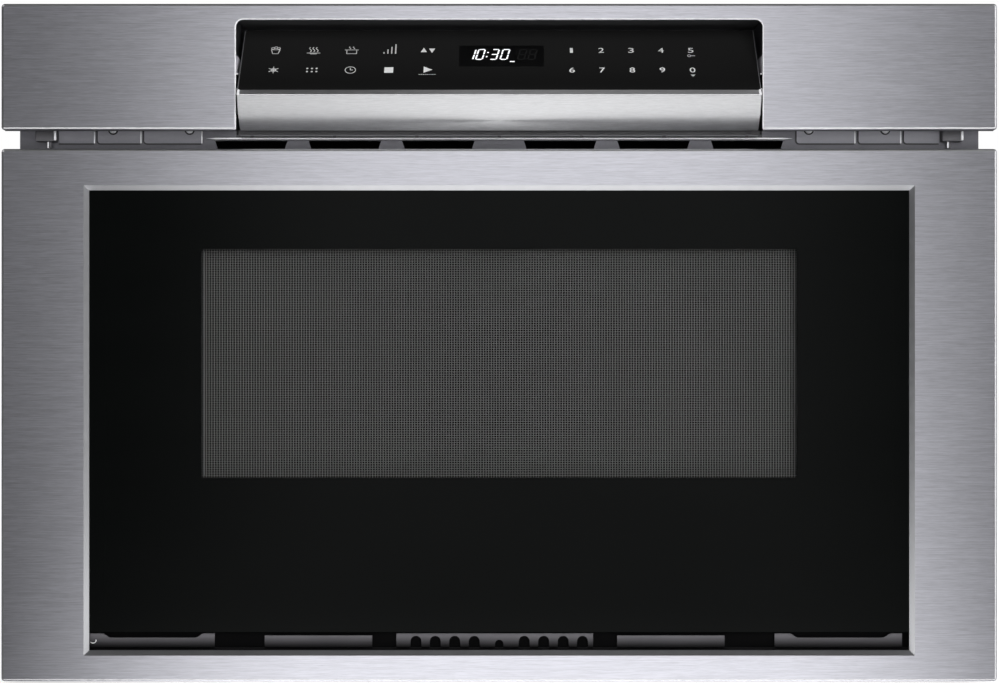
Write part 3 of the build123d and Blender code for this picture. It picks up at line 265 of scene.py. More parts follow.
def chassis_black():
    """The drawer's inner frame and the hinge plates: near-total black, painted shade for the deep gaps they
    show through, with faint runs.
    """
    worn_by = "door_chassis hinge_plate_left hinge_plate_right"
    f = Finish("chassis_black", (0.002, 0.002, 0.0022), 0.6, worn_by, Specular_IOR_Level=0.04)
    runs = f.noise((30, 30, 8), 4.0)
    f.done(f.tinted(runs, 0.3), runs, 0.52, 0.68, f.noise(700, 2.0), 0.02)


def hinge_grey():
    """Phosphated steel in a plum-grey skin, cloudy and dry, made pale as painted light on plates that sit in
    the recess's shade.
    """
    f = Finish("hinge_grey", (0.58, 0.56, 0.62), 0.6, Metallic=0.1)
    clouds = f.noise(90, 4.0)
    f.done(f.tinted(clouds, 0.2), clouds, 0.5, 0.68, f.noise(1200, 2.0), 0.01)


def screw_steel():
    """Bright zinc-plated heads with turning rings and a little grime."""
    f = Finish("screw_steel", (0.62, 0.62, 0.64), 0.3, "cabinet_screws", Metallic=1.0)
    grime = f.noise(420)
    f.done(f.tinted(f.spread(grime, 0.35, 0.6), 0.25), grime, 0.24, 0.42, f.noise(2600, 1.0), 0.01, 0.4)


def baffle_dark():
    """The folded strip under the glass: dark plum-grey paint, with painted shade that turns it black towards
    its lower edge, where the frame's ledge shades it.
    """
    f = Finish("baffle_dark", (0.05, 0.05, 0.054), 0.5, "vent_baffle", Specular_IOR_Level=0.15)
    clouds = f.noise((30, 30, 90), 4.0)
    # painted shade: near-black low down, paling with height up to the top edge
    pale = f.sum_of(f.spread(f.along("Z"), 0.0285, 0.0392), 1.6, "POWER")
    ground = f.blend(pale, (0.003, 0.003, 0.0033), (0.255, 0.247, 0.268))
    colour = f.blend(f.times(clouds, 0.3), ground, (0.01, 0.01, 0.011))
    f.done(colour, clouds, 0.45, 0.6, f.noise(900, 2.0), 0.015)


def motor_case():
    """A drawn steel can with faint rings and a dull plated skin."""
    worn_by = "tilt_motor stirrer_motor fan_motor gear_motor"
    f = Finish("motor_case", (0.38, 0.385, 0.4), 0.36, worn_by, Metallic=0.9)
    rings = f.noise((260, 40, 40), 2.0)
    f.done(f.tinted(f.noise(40, 4.0), 0.2), rings, 0.28, 0.46, depth_mm=0.02)


def stirrer_metal():
    """Stamped aluminium blades with fine crossed roller marks."""
    f = Finish("stirrer_metal", (0.7, 0.705, 0.715), 0.34, "stirrer_blade", Metallic=1.0)
    marks = f.noise((40, 700, 40), 4.0)
    f.done(f.tinted(marks, 0.08), marks, 0.26, 0.42, depth_mm=0.01)


def cover_mica():
    """The pale disc in the cavity's roof: layered flakes under a satin skin."""
    f = Finish("cover_mica", (0.6, 0.57, 0.5), 0.4, "stirrer_cover", Sheen_Weight=0.1)
    flakes = f.cells(150, feature="SMOOTH_F1")
    clouds = f.noise(60, 5.0)
    f.feed("Base Color", f.tinted(f.times(flakes, clouds), 0.22))
    f.feed("Roughness", f.spread(flakes, 0.1, 0.8, 0.3, 0.5))
    f.dent(clouds, 0.05, 0.25)


def magnetron_metal():
    """Aluminium fins between two dark magnets, with a copper antenna below."""
    f = Finish("magnetron_metal", (0.66, 0.665, 0.68), 0.35, "magnetron", Metallic=1.0)
    ferrite = f.sum_of(f.within("Z", 0.4110, 0.4245), f.within("Z", 0.4708, 0.4842))
    antenna = f.within("Z", 0.3700, 0.4108)
    marks = f.noise((90, 90, 600))
    with_copper = f.blend(antenna, f.tinted(marks, 0.12), (0.72, 0.38, 0.22))
    f.feed("Metallic", f.spread(ferrite, 0, 1, 1.0, 0.1))
    f.done(f.blend(ferrite, with_copper, (0.05, 0.05, 0.055)), marks, 0.28, 0.5, depth_mm=0.02)


def lamp_white():
    """A white ceramic holder with a frosted glass bulb at its free end."""
    f = Finish("lamp_white", (0.74, 0.73, 0.7), 0.3, "oven_lamp")
    bulb = f.within("X", -0.280, -0.2535)
    clouds = f.noise(120)
    f.feed("Base Color", f.blend(bulb, f.tinted(clouds, 0.06), (0.9, 0.88, 0.82)))
    f.feed("Roughness", f.spread(bulb, 0, 1, 0.42, 0.12))
    f.dent(clouds, 0.02)


def core_steel():
    """A stack of thin plates seen edge on: fine lines that repeat through the depth."""
    f = Finish("core_steel", (0.2, 0.2, 0.21), 0.5, "transformer_core", Metallic=0.8)
    inputs = {"Vector": f.stretched(1.0), "Scale": 320.0, "Distortion": 0.4, "Detail": 1.0}
    edges = f.node("TexWave", inputs, bands_direction="Y").outputs["Fac"]
    rust = f.noise(60, 4.0)
    plates = f.blend(edges, (0.07, 0.07, 0.075), (0.30, 0.30, 0.315))
    rusty = f.blend(f.spread(rust, 0.62, 0.8, 0.0, 0.6), plates, (0.2, 0.1, 0.05))
    f.done(rusty, rust, 0.4, 0.6, edges, 0.12, 0.6)


def copper_coil():
    """Enamelled wire under amber varnish."""
    f = Finish("copper_coil", (0.6, 0.25, 0.1), 0.3, "transformer_coils", Metallic=0.9, Coat_Weight=0.5,
               Coat_Roughness=0.15)
    varnish = f.noise((35, 35, 120), 4.0)
    f.done(f.blend(varnish, (0.34, 0.12, 0.045), (0.78, 0.36, 0.17)), varnish, 0.24, 0.42, depth_mm=0.03)


def capacitor_can():
    """A drawn aluminium can with a dark rim and tinned blades."""
    f = Finish("capacitor_can", (0.68, 0.685, 0.7), 0.3, "hv_capacitor", Metallic=1.0)
    brushed = f.noise((60, 60, 500), 4.0)
    lid = f.within("Z", 0.0775, 0.0796)
    f.feed("Metallic", f.spread(lid, 0, 1, 1.0, 0.0))
    f.done(f.blend(lid, f.tinted(brushed, 0.1), (0.05, 0.05, 0.06)), brushed, 0.24, 0.4, depth_mm=0.02)


def panel_glass():
    """Black glass over the touch board: printed black from behind, glossy, with faint smears, and painted
    light that lifts its upper part out of the shade under the band.
    """
    f = Finish("panel_glass", (0.0078, 0.0078, 0.0078), 0.12, "panel_glass", IOR=1.5, Specular_IOR_Level=0.02)
    smears = f.noise((14, 60, 14), 4.0)
    # painted light: the glass pales towards its top
    high = f.spread(f.along("Z"), 0.462, 0.495)
    f.feed("Base Color", f.blend(high, f.tinted(smears, 0.08), (0.0145, 0.0145, 0.0145)))
    f.feed("Roughness", f.spread(smears, 0.35, 0.75, 0.06, 0.13))
    f.dent(f.noise(9, 1.0), 0.02, 0.15)


CLEAR_HALF = 0.2279  # the clear window in the door glass: half its width, and its heights
CLEAR_Z = (0.1588, 0.3337)
CLEAR_SOFT = 0.0004


def door_glass():
    """One pane: a smoky clear window inside a black printed border, with faint smears in its gloss."""
    f = Finish("door_glass", (0.0024, 0.0028, 0.0027), 0.06, "door_glass", IOR=1.5, Specular_IOR_Level=0.045)
    window = f.times(f.within("X", -CLEAR_HALF, CLEAR_HALF, CLEAR_SOFT), f.within("Z", *CLEAR_Z, CLEAR_SOFT))
    smears = f.noise((10, 10, 34), 4.0)
    f.feed("Base Color", f.tinted(smears, 0.12))
    f.feed("Alpha", f.spread(window, 0.0, 1.0, 0.985, 0.2))
    f.feed("Roughness", f.spread(smears, 0.35, 0.75, 0.045, 0.1))


def shade_film():
    """The sheet that closes the window on the tray's side: a nearly opaque brown-black film, painted shade
    for the dark inside seen through the screen.
    """
    f = Finish("shade_film", (0.0045, 0.0044, 0.004), 0.15, IOR=1.5, Specular_IOR_Level=0.02, Alpha=0.97)
    smears = f.noise((12, 12, 40), 4.0)
    f.done(f.tinted(smears, 0.2), smears, 0.1, 0.2)


def tray_glass():
    """Pale glass-ceramic: milky, smooth and slightly mottled."""
    f = Finish("tray_glass", (0.66, 0.68, 0.685), 0.1, "glass_tray", Coat_Weight=0.6, Coat_Roughness=0.05)
    mottle = f.noise(45, 4.0)
    f.done(f.tinted(mottle, 0.05), mottle, 0.16, 0.26, f.noise(300, 2.0), 0.015)


def screen_steel():
    """The punched sheet behind the glass: grey paint in faint cloudy patches."""
    f = Finish("screen_steel", (0.225, 0.225, 0.228), 0.5, "door_screen", Metallic=0.2)
    patches = f.noise(24, 4.0)
    f.done(f.tinted(patches, 0.1), patches, 0.42, 0.6, f.noise(1500, 2.0), 0.01)


brushed_finish("brushed_steel", (0.68, 0.68, 0.737), 0.46, (42.0, 1150.0), 0.15, 0.93, "fascia door_frame")
brushed_finish("nose_aluminium", (0.76, 0.762, 0.774), 0.6, (80.0, 1300.0), 0.09, 0.6, "panel_nose")
zinc_finish("zinc_sheet", (0.60, 0.61, 0.625), 0.44, 115.0,
            "base_plate side_panel_left side_panel_right top_cover back_panel waveguide stirrer_dome")
zinc_finish("slide_steel", (0.56, 0.565, 0.58), 0.3, 160.0,
            " ".join(f"slide_{member}_{hand}" for member in ("outer", "middle", "inner")
                     for hand in ("left", "right")))
zinc_finish("magnetron_yoke", (0.50, 0.51, 0.53), 0.38, 110.0, "magnetron_frame")
sheet_with_painted_light("flange_grey", (0.165, 0.164, 0.18), (0.36, 0.357, 0.39), "front_bulkhead")
# a lighter copy of the same sheet for the pads' faces: painted light
sheet_with_painted_light("pad_painted_light", (0.22, 0.218, 0.24), (0.64, 0.635, 0.69))
# painted highlights: near-white finishes for glints, pins, screw heads and edge lines
painted_highlight_finish("highlight_white", (0.92, 0.92, 0.94))
painted_highlight_finish("highlight_line_steel", (0.72, 0.72, 0.735))
cut_finish("edge_polish", (0.62, 0.625, 0.64), 0.4)
cut_finish("chamfer_steel", (0.62, 0.625, 0.645), 0.42)
moulded_finish("liner_black", (0.05, 0.05, 0.056), 0.42, worn_by="recess_liner panel_housing")
moulded_finish("stop_grey", (0.075, 0.074, 0.08), 0.5, worn_by="corner_blocks")
moulded_finish("gland_black", (0.02, 0.02, 0.021), 0.5, worn_by="cord_gland")
moulded_finish("choke_black", (0.024, 0.024, 0.026), 0.38, 0.9, "choke_frame")
# the inner cover in near-black, painted shade for what shows through the screen's holes
moulded_finish("cover_shade_black", (0.05, 0.05, 0.054), 0.42, 0.8, "inner_cover")
moulded_finish("fan_plastic", (0.07, 0.075, 0.085), 0.45, 0.8, "fan_shroud fan_rotor")
moulded_finish("duct_plastic", (0.62, 0.62, 0.6), 0.45, 0.9, "air_duct exhaust_duct")
moulded_finish("gear_nylon", (0.78, 0.77, 0.72), 0.38, 0.4,
               "sector_gear tilt_pinion drive_pinion rack latch_hooks", 0.008)
moulded_finish("switch_black", (0.03, 0.03, 0.034), 0.34, 0.4, "interlock_switches")
moulded_finish("sill_grey", (0.15, 0.15, 0.16), 0.5, 0.8)
moulded_finish("rim_grey", (0.11, 0.11, 0.115), 0.3, 0.5)
moulded_finish("roof_felt", (0.12, 0.12, 0.126), 0.6, 0.8)
cavity_enamel("cavity_steel", (0.44, 0.44, 0.43), (0.6, 0.6, 0.58), "oven_cavity")
cavity_enamel("tub_enamel", (0.56, 0.56, 0.55), (0.72, 0.72, 0.7), "tub_wall tub_floor")
FILTER_BOARD_Y = FRONT_Y + 0.5818
board_finish("panel_board_green", "Y", -0.2812, -0.2440,
             ((0.02, 0.02, 0.02), (0.4, 0.4, 0.36)), "panel_board")
board_finish("filter_board_green", "Y", FILTER_BOARD_Y, FILTER_BOARD_Y + 0.002,
             ((0.5, 0.42, 0.06), (0.05, 0.14, 0.3)), "noise_filter_board")
board_finish("power_board_green", "Z", 0.3540, 0.3560,
             ((0.02, 0.02, 0.022), (0.05, 0.13, 0.32)), "power_board")
print_finish("ink_white", (0.78, 0.78, 0.78))
print_finish("ink_grey", (0.62, 0.62, 0.62))
print_finish("clock_glow", (0.95, 0.97, 1.0), 0.55)
print_finish("clock_pane", (0.0015, 0.0015, 0.0016))
print_finish("clock_unlit", (0.012, 0.012, 0.012))
for make_finish in (chassis_black, hinge_grey, screw_steel, baffle_dark, motor_case, stirrer_metal,
                    cover_mica, magnetron_metal, lamp_white, core_steel, copper_coil, capacitor_can,
                    panel_glass, door_glass, shade_film, tray_glass, screen_steel):
    make_finish()


# ---------------------------------------------------------------- shapes
def grid_faces(rows, columns, round_rows=False, round_columns=False):
    """Quads between neighbours of a grid whose points are numbered along its columns first."""
    row = np.arange(rows if round_rows else rows - 1)[:, None]
    column = np.arange(columns if round_columns else columns - 1)[None, :]
    next_row, next_column = (row + 1) % rows, (column + 1) % columns
    corners = (
        row * columns + column,
        next_row * columns + column,
        next_row * columns + next_column,
        row * columns + next_column,
    )
    return np.stack(np.broadcast_arrays(*corners), -1).reshape(-1, 4)


def in_scene(name, data):
    """An object for a mesh, a light or a camera, at the origin, unturned and unscaled."""
    made = bpy.data.objects.new(name, data)
    bpy.context.scene.collection.objects.link(made)
    return made


def solid_piece(name, parts, body, finish, smooth=False, crisp=None):
    """Joins (points, faces) parts into one object that rides on a body. Its slot is named as its finish, and
    turns of more than the crisp angle in degrees stay sharp."""
    points = [np.asarray(p, float).reshape(-1, 3) for p, _ in parts]
    starts = np.cumsum([0] + [len(p) for p in points])
    faces = [[int(corner) + int(start) for corner in face]
             for (_, group), start in zip(parts, starts) for face in group]
    mesh = bpy.data.meshes.new(name)
    mesh.from_pydata(np.concatenate(points).tolist(), [], faces)
    shell = bmesh.new()
    shell.from_mesh(mesh)
    bmesh.ops.recalc_face_normals(shell, faces=shell.faces)
    shell.to_mesh(mesh)
    shell.free()
    mesh.materials.append(finishes[finish])
    mesh.polygons.foreach_set("use_smooth", np.full(len(mesh.polygons), smooth or crisp is not None))
    if crisp is not None:
        mesh.set_sharp_from_angle(angle=math.radians(crisp))
    made = in_scene(name, mesh)
    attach(made, body)
    return made


BOX_CORNERS = np.array([(x, y, z) for x in (0, 1) for y in (0, 1) for z in (0, 1)], float)
BOX_FACES = np.array([(0, 1, 3, 2), (4, 6, 7, 5), (0, 4, 5, 1), (2, 3, 7, 6), (0, 2, 6, 4), (1, 5, 7, 3)])


def boxes(low, high):
    """Many boxes at once: each corner is the low corner plus 0 or 1 times the size along each axis."""
    low, high = np.atleast_2d(low), np.atleast_2d(high)
    points = low[:, None] + BOX_CORNERS[None] * (high - low)[:, None]
    faces = BOX_FACES[None] + 8 * np.arange(len(low))[:, None, None]
    return points.reshape(-1, 3), faces.reshape(-1, 4)


def box_mm(x_span, depth_span, z_span):
    return boxes(*(place(x_span[end], depth_span[end], z_span[end]) for end in (0, 1)))


def capped(rows, columns):
    """Faces of a tube whose first and last rows are closed by one flat face each."""
    faces = grid_faces(rows, columns, round_columns=True).tolist()
    first = list(range(columns))
    last = [(rows - 1) * columns + i for i in reversed(range(columns))]
    return faces + [first, last]


def tube(rings):
    """Rings of points, one after the other, closed by a flat face at both ends."""
    points = np.stack(rings)
    return points, capped(*points.shape[:2])


def closed_loop(rings):
    """Rings of points, one after the other, the last joined to the first."""
    points = np.stack(rings)
    return points, grid_faces(*points.shape[:2], True, True)


def slab(front, back):
    """Two grids of points, one before the other, joined all round by a rim."""
    rows, columns = front.shape[:2]
    number = np.arange(rows * columns).reshape(rows, columns)
    border = np.concatenate([number[0, :-1], number[:-1, -1], number[-1, :0:-1], number[:0:-1, 0]])
    after, far = np.roll(border, -1), rows * columns
    rim = np.stack([border, after, after + far, border + far], -1)
    sheet = grid_faces(rows, columns)
    return np.stack([front, back]), np.concatenate([sheet, sheet[:, ::-1] + far, rim])


def round_turn(count):
    """Evenly spread angles once round a circle."""
    return np.linspace(0, 2 * np.pi, count, endpoint=False)


def arc_points(centre, radius, turn):
    """Flat points at some angles on a circle."""
    return np.stack([centre[0] + radius * np.cos(turn), centre[1] + radius * np.sin(turn)], -1)


def on_front(across, up, depth):
    """Points seen from the front, at a depth from the front plane."""
    return place(across, depth, up)


def front_arc(centre, radius, depth, turn):
    """Points at some angles on a circle seen from the front."""
    return on_front(*arc_points(centre, radius, turn).T, depth)


def wire(path, radius, corners=8):
    """A round wire along a path of points in metres: a small circle carried square to each point's run."""
    run = np.gradient(path, axis=0)
    run /= np.linalg.norm(run, axis=1, keepdims=True)
    steady = np.array([0.0, 1.0, 0.0]) if abs(run[0][1]) < 0.9 else np.array([0.0, 0.0, 1.0])
    side = np.cross(run, steady)
    side /= np.linalg.norm(side, axis=1, keepdims=True)
    third = np.cross(side, run)
    turn = round_turn(corners)[None, :, None]
    points = path[:, None] + radius * MM * (side[:, None] * np.cos(turn) + third[:, None] * np.sin(turn))
    return points, capped(len(path), corners)


def rod(start, end, radius, corners=10):
    """A straight round bar with softly rounded ends, from (across, depth, up) to the same."""
    start, end = place(*start), place(*end)
    share = np.array([0.0, 0.0, 1.0, 1.0])[:, None]
    path = start + (end - start) * share
    direction = (end - start) / np.linalg.norm(end - start)
    path[1] += direction * radius * 0.3 * MM
    path[2] -= direction * radius * 0.3 * MM
    points, faces = wire(path, radius, corners)
    middle = path[:, None]
    points[[0, 3]] = middle[[0, 3]] + 0.7 * (points[[0, 3]] - middle[[0, 3]])
    return points, faces


def plate(outline, depths, laid=on_front):
    """A flat outline, once at each of two depths, closed all round."""
    outline = np.asarray(outline, float)
    return tube([laid(outline[:, 0], outline[:, 1], depth) for depth in depths])


def stroke(line, width, depths, laid=on_front):
    """A flat stroke: each point of a line moved half a width to both sides, square to the line."""
    line = np.asarray(line, float)
    run = np.gradient(line, axis=0)
    run /= np.linalg.norm(run, axis=1, keepdims=True)
    side = np.stack([-run[:, 1], run[:, 0]], -1) * width / 2
    one, other = line + side, line - side
    edges = ((one, depths[0]), (one, depths[1]), (other, depths[1]), (other, depths[0]))
    points = np.stack([laid(edge[:, 0], edge[:, 1], depth) for edge, depth in edges], 1)
    return points, capped(len(line), 4)


def filleted(corners, count=7):
    """A closed outline with square corners rounded off: each corner gives its place and radius, and its arc
    turns about the point one radius in from both of its sides."""
    corners = np.asarray(corners, float)
    here, radius = corners[:, None, :2], corners[:, None, 2:]
    back = np.roll(here, 1, axis=0) - here
    ahead = np.roll(here, -1, axis=0) - here
    back /= np.linalg.norm(back, axis=2, keepdims=True)
    ahead /= np.linalg.norm(ahead, axis=2, keepdims=True)
    turn = np.radians(np.linspace(0, 90, count))[None, :, None]
    arcs = here + radius * (back + ahead - ahead * np.cos(turn) - back * np.sin(turn))
    return arcs.reshape(-1, 2)


def oblong(x_span, z_span):
    """The corners of a rectangle, anticlockwise from the lower left."""
    (left, right), (low, high) = x_span, z_span
    return np.array([(left, low), (right, low), (right, high), (left, high)], float)


def round_box(x_span, z_span, radius, count=7):
    """A rectangle with rounded corners: one radius, or four from the lower left."""
    return filleted(np.column_stack([oblong(x_span, z_span), np.broadcast_to(radius, 4)]), count)


def inset(outline, distance):
    """An anticlockwise outline moved inwards: each point along the mean of its two sides' normals, by the
    distance over the cosine of half the turn there."""
    ahead = np.roll(outline, -1, axis=0) - outline
    ahead /= np.linalg.norm(ahead, axis=1, keepdims=True)
    mean = ahead + np.roll(ahead, 1, axis=0)
    mean /= np.linalg.norm(mean, axis=1, keepdims=True)
    inward = np.stack([-mean[:, 1], mean[:, 0]], -1)
    cosine = np.sum(mean * ahead, axis=1, keepdims=True)
    return outline + inward * np.reshape(distance, (-1, 1)) / cosine


def front_inset(outline, distance, depth):
    """An outline seen from the front, moved inwards and stood at a depth."""
    return on_front(*inset(outline, distance).T, depth)


# ---------------------------------------------------------------- prints on the panel's glass
PIVOT_D, PIVOT_Z = 23.7, 449.5  # the panel turns about this line
FACE_U = 23.7  # and its glass lies this far in front of it
SLOPE = math.sqrt(0.5)
INK_LIFT = (0.02, 0.05)
THIN = 0.62


def on_panel(across, along, lift):
    """Points by the panel's glass: across, along its slope from the pivot, and out from the glass."""
    out = FACE_U + np.asarray(lift, float)
    along = np.asarray(along, float)
    return place(across, PIVOT_D + (along - out) * SLOPE, PIVOT_Z + (along + out) * SLOPE)


def printed(outline, lift=INK_LIFT):
    return plate(outline, lift, on_panel)


def pen(line, width=THIN):
    return stroke(line, width, INK_LIFT, on_panel)


def printed_ring(centre, radius, width, corners=24):
    """A ring: a small rectangle of ink carried round a circle."""
    turn = round_turn(corners)[:, None]
    radii = radius + width * np.array([-0.5, -0.5, 0.5, 0.5])
    lifts = np.array(INK_LIFT)[[0, 1, 1, 0]] * np.ones_like(turn)
    points = on_panel(centre[0] + radii * np.cos(turn), centre[1] + radii * np.sin(turn), lifts)
    return points, grid_faces(corners, 4, True, True)


def printed_dot(centre, radius, corners=16):
    return printed(arc_points(centre, radius, round_turn(corners)))


def wave(x, low, high, sway):
    """A rising wisp: one whole sine to the left and right on the way up."""
    share = np.linspace(0, 1, 13)
    return np.stack([x + sway * np.sin(2 * np.pi * share), low + (high - low) * share], -1)


# Each sign is drawn in millimetres about the middle of its touch place.
def sign_kernels():
    tub = [(-3.2, 0.6), (-2.2, -4.2), (2.2, -4.2), (3.2, 0.6)]
    lines = [tub[i:i + 2] for i in range(3)] + [[(-3.6, 0.8), (3.6, 0.8)]]
    corn = ((-2.2, 2.5), (0.1, 3.4), (2.3, 2.4))
    return [pen(line) for line in lines] + [printed_ring(at, 1.1, THIN) for at in corn]


def sign_plate():
    lines = [[(-5.2, -3.4), (5.2, -3.4)], [(-2.6, -4.4), (2.6, -4.4)]]
    return [pen(line) for line in lines + [wave(x, -2.0, 4.0, 0.8) for x in (-2.6, 0.0, 2.6)]]


def sign_pot():
    lines = [[(-3.8, 0.2), (-3.8, -4.2)], [(-4.1, -4.2), (4.1, -4.2)], [(3.8, -4.2), (3.8, 0.2)]]
    lines += [[(-5.4, 0.5), (5.4, 0.5)], wave(-1.5, 1.6, 4.6, 0.6), wave(1.5, 1.6, 4.6, 0.6)]
    return [pen(line) for line in lines]


def sign_bars():
    return [pen([(x, -4.2), (x, -2.2 + 1.1 * (x + 4.5))], THIN * 1.6) for x in (-4.5, -1.5, 1.5, 4.5)]


def sign_arrows():
    up = [(-5.6, -2.2), (-0.8, -2.2), (-3.2, 3.4)]
    down = [(5.6, 2.2), (0.8, 2.2), (3.2, -3.4)]
    return [printed(up), printed(down)]


def sign_flake():
    tips = [4.2 * np.array([math.cos(turn), math.sin(turn)]) for turn in np.radians((30, 90, 150))]
    return [pen([-tip, tip]) for tip in tips] + [printed_ring((0, 0), 1.9, THIN, 6)]


def sign_dots():
    return [printed_dot((x, y), 0.85) for x in (-3.6, 0.0, 3.6) for y in (-1.9, 1.9)]


def sign_clock():
    hands = ([(0, -0.2), (0, 2.8)], [(-0.2, 0), (2.1, 0)])
    return [printed_ring((0, 0), 4.0, THIN, 32)] + [pen(hand) for hand in hands]


def sign_square():
    return [printed(oblong((-3.4, 3.4), (-3.4, 3.4)))]


def sign_triangle():
    dots = [printed_dot((x, -5.4), 0.42, 10) for x in np.linspace(-6, 6, 9)]
    return [printed([(-2.8, -3.4), (4.0, 0.4), (-2.8, 4.2)])] + dots


KEY_ROWS = (31.6, 7.0)
SIGN_FIRST, SIGN_PITCH = -173.2, 29.5
SIGNS = (
    (sign_kernels, sign_plate, sign_pot, sign_bars, sign_arrows),
    (sign_flake, sign_dots, sign_clock, sign_square, sign_triangle),
)
BOLD_SIGNS = (sign_arrows, sign_square, sign_triangle)


def moved_on_panel(part, across, along):
    """A printed part carried across and up the slope."""
    points, faces = part
    shift = np.array([across, along * SLOPE, along * SLOPE]) * MM
    return np.asarray(points, float) + shift, faces


def function_signs():
    """Plain signs in the ten touch places left of the clock: bright ones and fainter ones."""
    bright, faint = [], []
    for row, signs in zip(KEY_ROWS, SIGNS):
        for number, sign in enumerate(signs):
            group = bright if sign in BOLD_SIGNS else faint
            group += [moved_on_panel(part, SIGN_FIRST + SIGN_PITCH * number, row) for part in sign()]
    solid_piece("function_signs_bright", bright, "control_panel", "ink_white")
    solid_piece("function_signs", faint, "control_panel", "ink_grey")


FIGURE_WIDE, FIGURE_TALL = 4.3, 6.0
NARROW_ONE = 0.55  # the figure 1 is narrower than the rest


def numeral(figure):
    """One figure of the plain built-in face, as a thin closed print of the keys' figure size."""
    curve = bpy.data.curves.new("figure_outline", "FONT")
    curve.body = figure
    curve.size = 1.0
    curve.extrude = 0.5
    curve.resolution_u = 4
    holder = bpy.data.objects.new("figure_outline", curve)
    flat = holder.to_mesh()
    points = np.empty(len(flat.vertices) * 3)
    flat.vertices.foreach_get("co", points)
    points = points.reshape(-1, 3)
    faces = [list(face.vertices) for face in flat.polygons]
    holder.to_mesh_clear()
    bpy.data.objects.remove(holder)
    bpy.data.curves.remove(curve)
    low, high = points.min(0), points.max(0)
    share = (points - (low + high) / 2) / (high - low)
    width = FIGURE_WIDE * (NARROW_ONE if figure == "1" else 1)
    lift = INK_LIFT[0] + (INK_LIFT[1] - INK_LIFT[0]) * (share[:, 2] + 0.5)
    return on_panel(share[:, 0] * width, share[:, 1] * FIGURE_TALL, lift), faces


KEY_FIRST, KEY_PITCH = 55.9, 23.1
MARK_DROP = 6.8  # a key's small mark lies this far below its figure


def key_numbers():
    """The figures 1 to 5 over 6 to 0, with a small plain mark under the last of each row."""
    parts = []
    for row, figures in zip(KEY_ROWS, ("12345", "67890")):
        for number, figure in enumerate(figures):
            parts.append(moved_on_panel(numeral(figure), KEY_FIRST + KEY_PITCH * number, row))
    solid_piece("key_numbers", parts, "control_panel", "ink_white")
    ring_and_bar = [printed_ring((-1.6, 0), 1.2, 0.5, 14), pen([(-0.3, 0), (3.0, 0)], 0.6)]
    wedge = [printed([(-1.9, 1.1), (0, -1.3), (1.9, 1.1)])]
    marks = [moved_on_panel(part, KEY_FIRST + 4 * KEY_PITCH, row - MARK_DROP)
             for row, mark in zip(KEY_ROWS, (ring_and_bar, wedge)) for part in mark]
    solid_piece("key_marks", marks, "control_panel", "ink_grey")


# The seven strokes of a clock figure, from corner to corner of a box 1 wide and 2 high.
SEGMENTS = {
    "top": ((0, 2), (1, 2)),
    "high_left": ((0, 1), (0, 2)),
    "high_right": ((1, 1), (1, 2)),
    "middle": ((0, 1), (1, 1)),
    "low_left": ((0, 0), (0, 1)),
    "low_right": ((1, 0), (1, 1)),
    "bottom": ((0, 0), (1, 0)),
}
LIT = {
    "0": "top high_left high_right low_left low_right bottom",
    "1": "high_right low_right",
    "3": "top high_right middle low_right bottom",
    "8": "top high_left high_right middle low_left low_right bottom",
}
CLOCK_LOW, CLOCK_TALL, CLOCK_WIDE = 20.3, 12.4, 5.0
CLOCK_STROKE, CLOCK_LEAN, CLOCK_GAP = 1.15, 0.2, 0.18
PANE_LIFT = (0.004, 0.014)


def clock_figure(figure, left):
    """Six-sided strokes along the lit sides of a leaning box, each a little short of the corners."""
    parts = []
    for name in LIT[figure].split():
        start, end = (np.array([x * CLOCK_WIDE, y * CLOCK_TALL / 2]) for x, y in SEGMENTS[name])
        run = (end - start) / np.linalg.norm(end - start)
        side = np.array([-run[1], run[0]]) * CLOCK_STROKE / 2
        start, end = start + CLOCK_GAP * run, end - CLOCK_GAP * run
        inner = run * CLOCK_STROKE / 2
        outline = np.array([start, start + inner + side, end - inner + side, end, end - inner - side,
                            start + inner - side])
        outline[:, 0] += left + CLOCK_LEAN * outline[:, 1]
        outline[:, 1] += CLOCK_LOW
        parts.append(printed(outline))
    return parts


def clock_display():
    """A blacker pane in the middle of the glass, a lit time on it and two figures left unlit."""
    pane = [printed(oblong((-31.0, 34.6), (11.4, 37.6)), PANE_LIFT)]
    solid_piece("clock_pane", pane, "control_panel", "clock_pane")
    lit = []
    for figure, left in (("1", -25.4), ("0", -18.2), ("3", -7.4), ("0", 0.7)):
        lit += clock_figure(figure, left)
    lit += [printed_dot((-10.4 + CLOCK_LEAN * up, CLOCK_LOW + up), 0.75, 12) for up in (3.4, 8.6)]
    lit.append(printed(oblong((8.2, 11.8), (17.0, 18.2))))
    solid_piece("clock_digits", lit, "control_panel", "clock_glow")
    unlit = clock_figure("8", 14.0) + clock_figure("8", 22.0)
    solid_piece("clock_unlit", unlit, "control_panel", "clock_unlit")


# ---------------------------------------------------------------- the punched screen behind the glass
SCREEN_HALF, SCREEN_Z = 240.0, (146.0, 346.0)
HOLES_HALF, HOLES_Z = 229.5, (158.0, 334.0)
SCREEN_D = (18.2, 19.0)
RIM_D, RIM_WIDE = 17.4, 1.2
FOLD_X, FOLD_D = (-227.4, -226.6), (17.6, 18.0)  # the pale fold that shows down the window's left side
HOLE_COLUMNS, HOLE_ROWS = 226, 97
BAR_UPRIGHT, BAR_LEVEL = 0.5, 0.46


